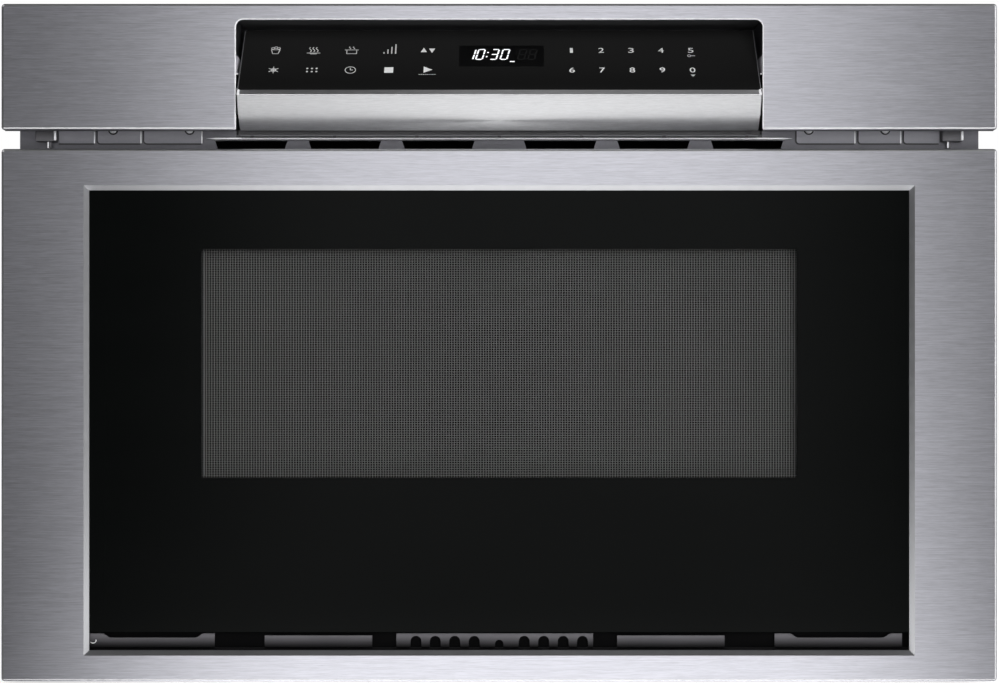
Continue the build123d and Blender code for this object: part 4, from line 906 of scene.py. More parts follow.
def window_screen():
    """A plain border with a folded rim, filled by upright and level bars with square holes between them."""
    border = []
    for side in (-1, 1):
        border.append(box_mm(sorted((side * HOLES_HALF, side * SCREEN_HALF)), SCREEN_D, SCREEN_Z))
    for heights in ((SCREEN_Z[0], HOLES_Z[0]), (HOLES_Z[1], SCREEN_Z[1])):
        border.append(box_mm((-HOLES_HALF, HOLES_HALF), SCREEN_D, heights))
    for side in (-1, 1):
        rim = sorted((side * (SCREEN_HALF - RIM_WIDE), side * SCREEN_HALF))
        border.append(box_mm(rim, (RIM_D, SCREEN_D[0]), SCREEN_Z))
    fold = box_mm(FOLD_X, FOLD_D, (SCREEN_Z[0] + 14, SCREEN_Z[1] - 14))
    across = np.linspace(-HOLES_HALF, HOLES_HALF, HOLE_COLUMNS + 1)
    upright = boxes(place(across - BAR_UPRIGHT / 2, SCREEN_D[0] + 0.1, HOLES_Z[0]),
                    place(across + BAR_UPRIGHT / 2, SCREEN_D[1] - 0.1, HOLES_Z[1]))
    up = np.linspace(*HOLES_Z, HOLE_ROWS + 1)
    level = boxes(place(-HOLES_HALF, SCREEN_D[0] + 0.2, up - BAR_LEVEL / 2),
                  place(HOLES_HALF, SCREEN_D[1] - 0.2, up + BAR_LEVEL / 2))
    made = solid_piece("window_screen", border + [fold, upright, level], "drawer", "screen_steel")
    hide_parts("door_screen")


# ---------------------------------------------------------------- rounded steel
def softened(name, node, body, finish, width, curved=False):
    """Stands for a CAD node: its mesh merged, its flat faces made whole, and every sharp edge rounded off by
    a width in millimetres."""
    shell = bmesh.new()
    shell.from_mesh(nodes[node].data)
    bmesh.ops.remove_doubles(shell, verts=shell.verts, dist=1e-6)
    bmesh.ops.dissolve_limit(shell, angle_limit=math.radians(0.3), verts=shell.verts, edges=shell.edges)
    mesh = bpy.data.meshes.new(name)
    shell.to_mesh(mesh)
    shell.free()
    mesh.materials.clear()
    mesh.materials.append(finishes[finish])
    mesh.polygons.foreach_set("material_index", np.zeros(len(mesh.polygons), np.int32))
    mesh.polygons.foreach_set("use_smooth", np.full(len(mesh.polygons), curved))
    if curved:
        mesh.set_sharp_from_angle(angle=math.radians(30))
    made = in_scene(name, mesh)
    rounded = made.modifiers.new("rounded_edges", "BEVEL")
    rounded.width = width * MM
    rounded.segments = 3
    rounded.limit_method = "ANGLE"
    rounded.angle_limit = math.radians(60)
    rounded.use_clamp_overlap = False
    rounded.harden_normals = curved
    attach(made, body)
    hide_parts(node)


RIM = 1.9  # how far the steel's outer edges are rounded, from the front round to the side
CORNER = 2.6  # and the radius of its corners, seen from the front
SUPPORT = 0.25  # a ring this far in from a rounding keeps the flat beside it flat to the light
ROUNDING = np.radians(np.linspace(0, 90, 6))
FRONT_HALF, FRONT_LOW, FRONT_HIGH, FRONT_BACK = 379.4, 4.0, 409.8, 28.0
WINDOW_HALF, WINDOW_LOW, WINDOW_HIGH, WINDOW_BEVEL = 313.0, 27.3, 378.4, 3.6
FRAME_THICK, FLANGE_THICK = 4.5, 1.5


def front_steel():
    """The drawer's front: one section, carried round a rounded rectangle that grows from the window's edge to
    the outside and shrinks again behind. Both ways round it closes on itself."""
    def window_ring(grown, depth):
        half = WINDOW_HALF + grown
        return on_front(*round_box((-half, half), (WINDOW_LOW - grown, WINDOW_HIGH + grown), 0.2).T, depth)

    def outer_ring(inwards, depth):
        half, low, high = FRONT_HALF - inwards, FRONT_LOW + inwards, FRONT_HIGH - inwards
        return on_front(*round_box((-half, half), (low, high), max(CORNER - inwards, 0.3)).T, depth)

    rings = [window_ring(0.0, FRAME_THICK), window_ring(0.0, WINDOW_BEVEL), window_ring(WINDOW_BEVEL, 0.0)]
    rings.append(outer_ring(RIM + SUPPORT, 0.0))
    rings += [outer_ring(RIM * (1 - math.sin(t)), RIM * (1 - math.cos(t))) for t in ROUNDING]
    rings += [outer_ring(0.0, FRONT_BACK), outer_ring(FLANGE_THICK, FRONT_BACK)]
    rings.append(outer_ring(FLANGE_THICK, FRAME_THICK))
    made = solid_piece("front_steel", [closed_loop(rings)], "drawer", "brushed_steel", crisp=30)
    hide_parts("door_frame")


FASCIA_LOW, FASCIA_HIGH = 424.1, 520.4
OPENING_HALF, OPENING_HIGH, OPENING_CORNER = 200.6, 508.2, 5.5
FASCIA_SHEET = 1.2
BAY_CORNER, BAY_RIM = 1.6, 1.0
TOP_FLANGE, BAY_FLANGE, SIDE_FLANGE, FOOT_FLANGE = 33.0, 2.6, 24.0, 5.0


def fascia_outline():
    """The band seen from the front, anticlockwise, with the panel's bay cut up into it."""
    corners = [
        (-FRONT_HALF, FASCIA_LOW, CORNER), (-OPENING_HALF, FASCIA_LOW, BAY_CORNER),
        (-OPENING_HALF, OPENING_HIGH, OPENING_CORNER), (OPENING_HALF, OPENING_HIGH, OPENING_CORNER),
        (OPENING_HALF, FASCIA_LOW, BAY_CORNER), (FRONT_HALF, FASCIA_LOW, CORNER),
        (FRONT_HALF, FASCIA_HIGH, CORNER), (-FRONT_HALF, FASCIA_HIGH, CORNER),
    ]
    return filleted(corners)


def fascia_steel():
    """The band over the drawer: its outline carried back through a rounded edge to flanges of four depths,
    and capped by flat faces in front and behind."""
    outline = fascia_outline()
    x, z = outline.T
    side = np.abs(x) > FRONT_HALF - 0.3
    top = z > FASCIA_HIGH - 1.0
    bay = (np.abs(x) < OPENING_HALF + 0.5) & ~top
    flange = np.select([top, bay, side], [TOP_FLANGE, BAY_FLANGE, SIDE_FLANGE], FOOT_FLANGE)
    edge = np.where(bay, BAY_RIM, RIM)
    inside = np.maximum(edge, FASCIA_SHEET + 0.2)
    rings = [(edge + SUPPORT, 0.0)]
    rings += [(edge * (1 - math.sin(t)), edge * (1 - math.cos(t))) for t in ROUNDING]
    rings += [(0.0, flange), (FASCIA_SHEET, flange), (FASCIA_SHEET, inside), (inside, FASCIA_SHEET)]
    made = solid_piece("fascia_steel", [tube([front_inset(outline, *ring) for ring in rings])], "cabinet",
                       "brushed_steel", crisp=30)
    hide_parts("fascia")


LINE_TURNS = np.radians([0.0, 18.0, 27.0])  # how far round an edge its painted highlight reaches
BAY_GLINT = np.radians(np.linspace(12, 78, 5))


def crescent(outline, rim, kept, steps=ROUNDING[:5], sunk=0.25):
    """A rounding over another, for a polished edge or a painted highlight: one arc a little proud of it and
    one sunk in it, in the same steps, carried along the points of the outline that are kept."""
    rings = []
    for radius, turns in ((rim + 0.05, steps), (rim - sunk, steps[::-1])):
        rings += [front_inset(outline, rim - radius * math.sin(t), rim - radius * math.cos(t)) for t in turns]
    return tube(np.stack(rings, 1)[kept])


def polished_edges_and_highlights():
    """The cut edges of the band and the drawer's front: polished steel, shaded above and on the left, and
    painted highlights below, on the right and at the upper left corner. The kept points run along the
    outlines, seven to a rounded corner."""
    band = fascia_outline()
    front = round_box((-FRONT_HALF, FRONT_HALF), (FRONT_LOW, FRONT_HIGH), CORNER)
    shaded = [crescent(band, RIM, kept) for kept in (np.r_[46:51], np.r_[54:56, 0:4])]
    solid_piece("fascia_edge", shaded, "cabinet", "edge_polish", crisp=40)
    lit = [crescent(band, RIM, kept, LINE_TURNS) for kept in (np.r_[34:47], np.r_[50:55], np.r_[3:8])]
    solid_piece("fascia_highlight_lines", lit, "cabinet", "highlight_line_steel")
    shaded = [crescent(front, RIM, kept) for kept in (np.r_[17:23], np.r_[26:28, 0:5])]
    solid_piece("front_edge", shaded, "drawer", "edge_polish", crisp=40)
    lit = [crescent(front, RIM, kept, LINE_TURNS) for kept in (np.r_[4:18], np.r_[22:27])]
    solid_piece("front_highlight_lines", lit, "drawer", "highlight_line_steel")


def window_chamfer():
    """The chamfer round the window, a little proud of the steel's own: four rectangles joined in a loop."""
    rings = []
    for grown, depth in ((0.0, WINDOW_BEVEL - 0.04), (WINDOW_BEVEL, -0.04), (WINDOW_BEVEL, 0.3),
                         (0.1, WINDOW_BEVEL + 0.1)):
        half, low, high = WINDOW_HALF + grown, WINDOW_LOW - grown, WINDOW_HIGH + grown
        rings.append(on_front(*oblong((-half, half), (low, high)).T, depth))
    solid_piece("window_chamfer", [closed_loop(rings)], "drawer", "chamfer_steel")


def bay_highlight_line():
    """A painted highlight on the corner of the steel round the panel's bay: a thin crescent, carried up one
    side, across and down the other."""
    trim = crescent(fascia_outline(), BAY_RIM, np.r_[9:33], BAY_GLINT, 0.2)
    solid_piece("bay_highlight_line", [trim], "cabinet", "highlight_white", True)


# ---------------------------------------------------------------- the strip under the glass
STRIP_D = (15.0, 16.0)
STRIP_HALF, STRIP_LOW, STRIP_HIGH = 317.0, 14.0, 28.0
TAB_FOOT = STRIP_HIGH - 1  # the tabs start a little below the web's upper edge
TAB_TOP, FLAT_TOP = 38.7, 37.1
TAB_MIDDLE = -3.5  # the tabs stand evenly about this line
TABS = ((87.1, 176.7), (215.1, 313.0))  # how far each pair of tabs reaches from that line
TAB_NOTCH, TAB_SLOPE = 35.4, 7.0
TAB_INSET = (11.2, 8.0)  # a dip starts this far in from a tab's left and right edges
FLAT_STEP, ARCADE_STEP = 7.0, 11.5  # bare web between the first pair of tabs, the arcade and the line
ARCHES = (-64.0, -49.2, -34.2, -19.2, 0.0, 19.2, 34.2, 49.2, 64.0)


def notched_tab(left, right):
    """A tab whose top dips along a smooth slope: the dip is half a cosine wave at each end."""
    share = np.linspace(0, 1, 9)
    dip = TAB_NOTCH + (TAB_TOP - TAB_NOTCH) * (1 + np.cos(np.pi * share)) / 2
    down = np.stack([left + TAB_INSET[0] + TAB_SLOPE * share, dip], -1)
    up = np.stack([right - TAB_INSET[1] - TAB_SLOPE * share[::-1], dip[::-1]], -1)
    start, end = [(left, TAB_FOOT), (left, TAB_TOP)], [(right, TAB_TOP), (right, TAB_FOOT)]
    return np.concatenate([start, down, up, end])


def arcade():
    """The middle tab: arches open at their feet, and a lower one in the middle."""
    half = TABS[0][0] - ARCADE_STEP
    left, right = TAB_MIDDLE - half, TAB_MIDDLE + half
    line = [[(left, TAB_FOOT), (left, TAB_TOP), (right, TAB_TOP), (right, TAB_FOOT)]]
    for x in reversed(ARCHES):
        radius, spring = (4.2, 32.6) if x else (3.2, 30.6)
        arch = arc_points((x, spring), radius, np.radians(np.linspace(0, 180, 13)))
        line += [[(x + radius, TAB_FOOT)], arch, [(x - radius, TAB_FOOT)]]
    return np.concatenate(line)


def vent_strip():
    """A dark folded strip: a low web, four dipped tabs and an arcade between them."""
    outlines = [oblong((-STRIP_HALF, STRIP_HALF), (STRIP_LOW, STRIP_HIGH)), arcade()]
    (inner_low, inner_high), (outer_low, outer_high) = TABS
    for side in (-1, 1):
        left, right = sorted((TAB_MIDDLE + side * (inner_low + FLAT_STEP), TAB_MIDDLE + side * inner_high))
        outlines.append([(left, TAB_FOOT), (left, FLAT_TOP), (right, FLAT_TOP), (right, TAB_FOOT)])
        outlines.append(notched_tab(*sorted((TAB_MIDDLE + side * outer_low, TAB_MIDDLE + side * outer_high))))
    parts = [plate(outline, STRIP_D) for outline in outlines]
    made = solid_piece("vent_strip", parts, "drawer", "baffle_dark")
    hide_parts("vent_baffle")


# ---------------------------------------------------------------- small things round the panel
LIP_HALF, LIP_D, LIP_Z = 226.7, 25.7, 419.95
LIP_DOT_PITCH = 63.3
BAY_HALF, SILL_Z = 199.0, 420.4
GLASS_FOOT, GLASS_HEAD = -16.5, 56.8
NOSE_HALF = 198.9
FILM_HALF, FILM_MIDDLE, FILM_RISE, FILM_D = 231.6, 246.0, 93.6, 19.8
SHADE_TROUGH_HALF, SHADE_TROUGH_D, SHADE_TROUGH_Z = 232.0, 31.8, 411.5


def lip_edge():
    """The rolled edge over the vent slots in near-white, a painted highlight: half a round bar whose ends run
    out to a point.
    """
    run = np.linspace(-1, 1, 61)[:, None]
    turn = round_turn(12)
    thick = 0.75 * np.sqrt(np.clip(1 - np.abs(run) ** 40, 0, 1)) + 0.02
    points = place(LIP_HALF * run, LIP_D + thick * np.cos(turn), LIP_Z + thick * np.sin(turn))
    solid_piece("lip_edge", [tube(points)], "cabinet", "highlight_white", True)
    middles = LIP_DOT_PITCH * np.arange(-3, 4)
    pads = boxes(place(middles - 1.3, 14.8, 419.9), place(middles + 1.3, 15.8, 421.1))
    solid_piece("lip_pads", [pads], "cabinet", "gland_black")


def inner_pane():
    """A film sheet of painted shade across the opening of the drawer's frame, a little slack in its middle:
    its depth bulges back by the product of two half sines."""
    across, up = np.meshgrid(np.linspace(-1, 1, 25), np.linspace(-1, 1, 13))
    slack = 0.5 * np.cos(across * np.pi / 2) * np.cos(up * np.pi / 2)
    x, z = FILM_HALF * across, FILM_MIDDLE + FILM_RISE * up
    film = slab(place(x, FILM_D + slack, z), place(x, FILM_D + 0.4 + slack, z))
    solid_piece("inner_pane", [film], "drawer", "shade_film", True)


def slot_shade_trough():
    """Painted shade behind the vent slots: a black trough, a sheet bent through half an ellipse, carried
    across.
    """
    turn = np.radians(np.linspace(-90, 90, 17))[None, :]
    across = np.array([-SHADE_TROUGH_HALF, SHADE_TROUGH_HALF])[:, None]
    outer = place(across, SHADE_TROUGH_D + 24.0 * np.cos(turn), SHADE_TROUGH_Z + 9.3 * np.sin(turn))
    inner = place(across, SHADE_TROUGH_D + 23.0 * np.cos(turn), SHADE_TROUGH_Z + 8.6 * np.sin(turn))
    sheet = tube(np.concatenate([outer, inner[:, ::-1]], 1))
    solid_piece("slot_shade_trough", [sheet], "cabinet", "chassis_black")


def hem(half, depths, heights):
    """A strip on edge, carried across: a flat profile with a half-round top."""
    turn = np.radians(np.linspace(0, 180, 9))
    radius = (depths[1] - depths[0]) / 2
    top = heights[1] - radius + radius * np.sin(turn)
    depth = np.concatenate([[depths[1]], depths[0] + radius + radius * np.cos(turn), [depths[0]]])
    return tube(place([[-half], [half]], depth, np.concatenate([[heights[0]], top, [heights[0]]])))


def bay_sill():
    """The dark hem along the bay's floor with a flange behind it, both under the nose's swing, and a fence
    behind that swing. Beside the bay a plain apron closes the gap behind the band."""
    flange = box_mm((-BAY_HALF, BAY_HALF), (15.5, 26.3), (420.45, 420.95))
    sill = hem(BAY_HALF, (15.5, 16.5), (SILL_Z, 421.5))
    solid_piece("bay_sill", [sill, flange], "cabinet", "sill_grey")
    fence = hem(203.3, (37.8, 38.8), (422.75, 427.6))
    solid_piece("bay_fence", [fence], "cabinet", "rim_grey")
    aprons = [box_mm(x, (29.2, 29.9), (421.0, 434.0)) for x in ((-217.5, -203.7), (203.7, 217.5))]
    solid_piece("bay_aprons", aprons, "cabinet", "flange_grey")


def panel_edges():
    """Polished rims along both sides of the panel's glass."""
    rims = [pen([(x, GLASS_FOOT), (x, GLASS_HEAD)], 0.7) for x in (-198.65, 198.65)]
    solid_piece("panel_glass_rims", rims, "control_panel", "rim_grey")


HINGE_X, HINGE_D, HINGE_Z = (201.0, 201.5), (9.0, 41.6), (468.0, 482.0)
HINGE_PIN_X, HINGE_PIN_D, HINGE_PIN_Z = (201.4, 199.5), 5.5, 467.4
CLIP_X, CLIP_D, CLIP_Z = 200.15, 2.4, 453.8


def hinge_faces():
    """A plate on each side wall of the recess, made pale as painted light, and under it a pin and a bent wire
    clip in near-white painted highlight: the clip is most of a tall, narrow ellipse."""
    plates, pins = [], []
    turn = np.radians(np.linspace(-150, 150, 15))
    for side in (-1, 1):
        plates.append(box_mm(sorted(side * x for x in HINGE_X), HINGE_D, HINGE_Z))
        pins.append(rod(*((side * x, HINGE_PIN_D, HINGE_PIN_Z) for x in HINGE_PIN_X), 0.55))
        clip = place(side * (CLIP_X + 0.5 * np.cos(turn)), CLIP_D, CLIP_Z + 2.2 * np.sin(turn))
        pins.append(wire(clip, 0.32))
    solid_piece("hinge_faces", plates, "cabinet", "hinge_grey")
    solid_piece("hinge_pins", pins, "cabinet", "highlight_white")


def nose_line():
    """A painted highlight along the line where the ledge under the glass turns into the nose, with an ear at
    both ends.
    """
    parts = [printed(oblong((-NOSE_HALF, NOSE_HALF), (-23.15, -22.6)), (-0.4, 0.06))]
    for ear in ((-NOSE_HALF, -197.0), (197.0, NOSE_HALF)):
        parts.append(printed(round_box(ear, (-22.7, -16.9), (0.3, 0.3, 0.8, 0.8), 4), (-0.4, 0.2)))
    solid_piece("nose_line", parts, "control_panel", "highlight_white")


# The pads pressed in the bulkhead behind the gap: left and right edge of each.
PADS = ((-341.2, -313.1), (-311.5, -277.2), (-275.5, -230.0), (229.9, 275.9), (277.9, 311.4), (313.1, 341.2))
PAD_FOOT, PAD_FACE = 416.0, 28.8
PAD_TOP, PAD_CORNER = 427.0, 2.6


def pad_edges():
    """Painted light on each pad: its face in a lighter copy of the sheet, black strips of painted shade down
    its left side and along its foot, and a painted highlight down its right edge.
    """
    shade_strips, glints, faces = [], [], []
    for left, right in PADS:
        face = round_box((left + 0.4, right - 0.6), (PAD_FOOT + 0.3, 428.5), (2.2, 0.4, 0.4, 0.4), 5)
        faces.append(plate(face, (PAD_FACE - 0.08, PAD_FACE + 0.1)))
        bend = arc_points((left + PAD_CORNER, PAD_FOOT + PAD_CORNER), PAD_CORNER,
                          np.radians(np.linspace(180, 270, 7)))
        line = np.concatenate([[(left, PAD_TOP)], bend, [(right - 0.8, PAD_FOOT)]])
        if left == PADS[0][0]:
            line = np.array([(left, PAD_FOOT), line[-1]])
        shade_strips.append(stroke(line, 1.0, (PAD_FACE - 0.15, PAD_FACE + 1.0)))
        if right != PADS[-1][1]:
            glints.append(rod((right - 0.4, PAD_FACE, PAD_FOOT + 0.5), (right - 0.4, PAD_FACE, PAD_TOP), 0.5))
    solid_piece("pad_faces", faces, "cabinet", "pad_painted_light")
    solid_piece("pad_painted_shade", shade_strips, "cabinet", "gland_black")
    solid_piece("pad_painted_highlights", glints, "cabinet", "highlight_white", True)


SHADE_LINE_X, SHADE_LINE_D, SHADE_LINE_Z = (202.5, 377.0), 3.4, 424.0


def band_shade_line():
    """Painted shade under the band's lower edge, on both sides of the bay: a black round cord where the band
    shades the gap.
    """
    cords = [rod(*((side * x, SHADE_LINE_D, SHADE_LINE_Z) for x in SHADE_LINE_X), 0.45) for side in (-1, 1)]
    solid_piece("band_shade_line", cords, "cabinet", "gland_black", True)


BLOCK_RIGHTS, BLOCK_PINS = (-341.6, 357.5), (-347.4, 347.4)


def block_glints():
    """Painted highlights: near-white rods on the right flanks of the corner blocks, and on the pins' sides
    under them.
    """
    parts = [rod((right - 0.75, 19.9, 418.0), (right - 0.75, 19.9, 430.0), 0.95) for right in BLOCK_RIGHTS]
    parts += [rod((pin - 1.0, 23.6, 412.4), (pin - 1.0, 23.6, 417.2), 0.62) for pin in BLOCK_PINS]
    solid_piece("block_painted_highlights", parts, "cabinet", "highlight_white", True)


HOOK_X, HOOK_D, HOOK_Z = -311.8, 13.4, 33.4


def drip_hook():
    """A small wire hook in the lower left corner of the window, about half an ellipse, in near-white as a
    painted highlight.
    """
    turn = np.radians(np.linspace(-150, 25, 13))
    path = place(HOOK_X + 2.3 * np.cos(turn), HOOK_D, HOOK_Z + 1.9 * np.sin(turn))
    solid_piece("drip_hook", [wire(path, 0.34)], "drawer", "highlight_white", True)


def bay_roof():
    """A thin grey lining under the roof of the panel's bay, sagging a little between its glued edges."""
    across, back = np.meshgrid(np.linspace(-1, 1, 13), np.linspace(0, 1, 7))
    sag = 0.15 * np.cos(across * np.pi / 2) * np.sin(back * np.pi)
    x, d = 202.0 * across, 4.0 + 78.0 * back
    lining = slab(place(x, d, 512.0 - sag), place(x, d, 512.28))
    solid_piece("bay_roof", [lining], "cabinet", "roof_felt")


# ---------------------------------------------------------------- the cabinet's sheets and screws
SIDE_X, BACK_D, TOP_Z = 359.0, 590.0, 517.2  # the outer faces of the cabinet's sheets
BEAD_HALF, BEAD_RISE = 7.0, 1.3
LOUVRE_Z, LOUVRE_PITCH = 437.0, 12.0
FAN_LOUVRES, AIR_LOUVRES = 200.0, (-120.0, -60.0, 0.0)  # the middles of the columns of slots
SEAM_Z = (12.0, 506.0)
SEAM_DEPTHS = (48.0, 180.0, 312.0, 444.0, 576.0)
SEAM_X = (-345.0, -172.0, 0.0, 172.0, 345.0)
GAP_SCREWS, GAP_SCREW_Z = (-299.0, -239.8, 239.8, 299.0), 427.0


def hood(across, up, wide, tall=6.6, out=2.6):
    """A louvre's hood: over each slot a quarter-round lip that swells out of the sheet and dies out
    sideways."""
    share = np.linspace(0, 1, 13)[:, None]
    turn = np.linspace(0, np.pi / 2, 7)
    swell = np.sqrt(np.clip(1 - (2 * share - 1) ** 6, 0, 1))
    x = across + wide * (share - 0.5)
    z = up + tall * np.cos(turn)
    outside = place(x, BACK_D + 0.05 + out * np.sin(turn) * swell, z)
    inside = place(x, BACK_D + (out - 0.8) * np.sin(turn) * swell, z - 0.8 * np.cos(turn))
    return tube(np.concatenate([outside, inside[:, ::-1]], 1))


def back_louvres():
    """A hood over every vent slot of the back sheet."""
    parts = [hood(FAN_LOUVRES, LOUVRE_Z + LOUVRE_PITCH * row, 74.0) for row in range(-3, 4)]
    for x in AIR_LOUVRES:
        parts += [hood(x, LOUVRE_Z + LOUVRE_PITCH * row, 50.0) for row in range(-2, 3)]
    solid_piece("back_louvres", parts, "cabinet", "zinc_sheet", smooth=True)


def bead(low, high, middle, laid):
    """A pressed bead: half an ellipse carried along, narrowing to nothing in a short round end."""
    share = np.linspace(0, 1, 31)[:, None]
    turn = np.linspace(0, np.pi, 9)[None, :]
    size = np.sqrt(np.clip(1 - np.abs(2 * share - 1) ** 24, 0.001, 1))
    return tube(laid(low + (high - low) * share, middle + BEAD_HALF * size * np.cos(turn),
                     BEAD_RISE * size * np.sin(turn)))


def sheet_beads():
    """Stiffening beads: three along each side of the cabinet and two across its top."""
    parts = [bead(90.0, 540.0, z, lambda run, across, out: place(side * (SIDE_X + out), run, across))
             for side in (-1, 1) for z in (110.0, 230.0, 350.0)]
    parts += [bead(-310.0, 310.0, depth, lambda run, across, out: place(run, across, TOP_Z + out))
              for depth in (190.0, 430.0)]
    solid_piece("sheet_beads", parts, "cabinet", "zinc_sheet", smooth=True)


def screw_head(radius, high, laid, turns=40):
    """A pan head on its back: height falls off as the fourth power towards the rim, and a cross is sunk in it
    where a point lies close to either of two lines through the middle."""
    share = np.array([0.0, 0.16, 0.3, 0.42, 0.54, 0.66, 0.78, 0.88, 0.95, 1.0, 1.0])[:, None]
    turn = round_turn(turns)[None, :]
    x, y = radius * share * np.cos(turn), radius * share * np.sin(turn)
    height = high * (1 - 0.75 * share ** 4) * np.ones_like(turn)
    height[-1] = 0.0
    sunk = (np.minimum(np.abs(x), np.abs(y)) < 0.13 * radius) & (share * np.ones_like(turn) < 0.6)
    height = height - np.where(sunk, 0.55 * high, 0.0)
    faces = grid_faces(*x.shape, round_columns=True).tolist()
    foot = (len(share) - 1) * turns
    faces = faces[turns:] + [[turns + i for i in range(turns)], [foot + i for i in range(turns)]]
    return laid(x, y, height), faces


def pan_screws():
    """Pan heads with a cross recess: four between the band and the drawer, near-white as painted highlights
    on black rings of painted shade, and six on top."""
    front_heads, shade_rings = [], []
    for x in GAP_SCREWS:
        front_heads.append(screw_head(2.9, 1.8, lambda a, b, out: place(x + a, 28.3 - out, GAP_SCREW_Z + b)))
        section = ((2.0, 28.8), (4.0, 28.8), (4.0, 28.35), (3.8, 28.1), (2.0, 28.1))
        shade_rings.append(closed_loop([front_arc((x, GAP_SCREW_Z), r, d, round_turn(32)) for r, d in section]))
    heads = [screw_head(3.6, 2.0, lambda a, b, out: place(x + a, depth + b, TOP_Z + out))
             for x in SEAM_X[::2] for depth in (60.0, 570.0)]
    made = solid_piece("pan_screws", heads, "cabinet", "screw_steel")
    solid_piece("front_screws", front_heads, "cabinet", "highlight_white")
    solid_piece("screw_shade_rings", shade_rings, "cabinet", "gland_black")
    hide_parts("cabinet_screws")


def seam_screws():
    """Screws along the seams of the sides and the back."""
    heads = [screw_head(3.4, 1.5, lambda a, b, out: place(side * (SIDE_X + out), depth + a, z + b))
             for side in (-1, 1) for depth in SEAM_DEPTHS for z in SEAM_Z]
    heads += [screw_head(3.4, 1.5, lambda a, b, out: place(x + a, BACK_D + out, z + b))
              for x in SEAM_X for z in SEAM_Z]
    solid_piece("seam_screws", heads, "cabinet", "screw_steel")


CORD_X, CORD_Z = -300.0, 60.0
GRIPS = 16


def gland_nut():
    """The gland's nut: a ring whose outside waves in and out sixteen times, with broken edges."""
    turn = round_turn(8 * GRIPS)
    grip = 0.5 * np.cos(GRIPS * turn)
    section = ((9.1, 0, 593.1), (11.2, 0.5, 593.1), (11.9, 1, 593.9), (11.9, 1, 598.0), (11.2, 0.5, 598.8),
               (9.1, 0, 598.8))
    rings = [front_arc((CORD_X, CORD_Z), radius + share * grip, depth, turn)
             for radius, share, depth in section]
    solid_piece("gland_nut", [closed_loop(rings)], "cabinet", "gland_black")


# ---------------------------------------------------------------- fan, windings and seal
FAN_X, FAN_Z = 200.0, 440.0
BLADES = 7
COIL_X, COIL_DEPTH, COIL_HALF, COIL_THICK = -100.0, 385.0, (34.5, 52.0), 16.4
WIRE = 0.5


def fan_blades():
    """Seven blades on a domed hub: each twists from steep to shallow, leans round with its length and is
    hollowed by half a sine across its chord."""
    parts = []
    share, chord = np.meshgrid(np.linspace(0, 1, 10), np.linspace(-0.5, 0.5, 7), indexing="ij")
    reach = 13.5 + 36.0 * share
    pitch = np.radians(42 - 16 * share)
    wide = 19.0 + 3.5 * share
    aside = wide * chord * np.cos(pitch)
    back = wide * chord * np.sin(pitch) * 0.85 + 1.2 * np.cos(np.pi * chord)
    for blade in range(BLADES):
        turn = 2 * np.pi * blade / BLADES + 0.22 * share ** 2
        x = FAN_X + reach * np.cos(turn) - aside * np.sin(turn)
        z = FAN_Z + reach * np.sin(turn) + aside * np.cos(turn)
        parts.append(tube(np.concatenate([place(x, 573.3 + back, z), place(x, 574.5 + back, z)[:, ::-1]], 1)))
    hub = ((6.0, 566.2), (12.5, 566.6), (14.4, 567.6), (15.0, 569.6), (15.0, 581.8), (3.0, 581.8))
    parts.append(tube([front_arc((FAN_X, FAN_Z), r, d, round_turn(40)) for r, d in hub]))
    parts.append(rod((FAN_X, 546.5, FAN_Z), (FAN_X, 566.4, FAN_Z), 2.4))
    made = solid_piece("fan_blades", parts, "fan", "fan_plastic", crisp=30)
    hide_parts("fan_rotor")


def winding(low, high, turns, layers):
    """A wound coil: a section whose outside and ends are rows of round wires, carried round the core's
    leg."""
    def scallops(count):
        share = np.linspace(0, 1, 4 * count + 1)
        return share, WIRE * np.abs(np.sin(np.pi * count * share))

    up, bulge = scallops(turns)
    inward, swell = scallops(layers)
    ends = WIRE + (COIL_THICK - WIRE) * inward
    grown = np.concatenate([WIRE - bulge, ends, [COIL_THICK], ends[::-1]])
    z = np.concatenate([low + WIRE + (high - low - 2 * WIRE) * up, high - WIRE + swell, [low + WIRE],
                        low + WIRE - swell])
    rings = []
    for distance, height in zip(grown, z):
        half_x, half_d = COIL_HALF[0] - distance, COIL_HALF[1] - distance
        outline = round_box((-half_x, half_x), (-half_d, half_d), max(10.0 - distance, 0.6))
        rings.append(place(COIL_X + outline[:, 0], COIL_DEPTH + outline[:, 1], height))
    return closed_loop(rings)


def coil_windings():
    """Two coils of the same wire, one over the other on the core's leg."""
    parts = [winding(17.6, 39.6, 13, 9), winding(44.6, 69.6, 15, 9)]
    made = solid_piece("coil_windings", parts, "cabinet", "copper_coil", smooth=True)
    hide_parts("transformer_coils")


def choke_lip():
    """The soft lip round the back of the choke frame: a small ellipse carried round a rounded rectangle."""
    outline = round_box((-256.0, 256.0), (102.0, 368.0), 10.0)
    rings = [front_inset(outline, 2.2 + 1.4 * math.cos(turn), 29.15 + 0.65 * math.sin(turn))
             for turn in round_turn(10)]
    solid_piece("choke_lip", [closed_loop(rings)], "drawer", "gland_black", True)


for make_pieces in (function_signs, key_numbers, bay_roof, sheet_beads, seam_screws, gland_nut, fan_blades,
                    coil_windings, choke_lip, bay_highlight_line, polished_edges_and_highlights, window_chamfer, nose_line,
                    pad_edges, block_glints, pan_screws, drip_hook, clock_display, window_screen,
                    back_louvres, vent_strip, lip_edge, band_shade_line, hinge_faces, slot_shade_trough, bay_sill,
                    panel_edges, inner_pane, front_steel, fascia_steel):
    make_pieces()
softened("nose_bar", "panel_nose", "control_panel", "nose_aluminium", 0.7, curved=True)
softened("stop_blocks", "corner_blocks", "cabinet", "stop_grey", 0.7)


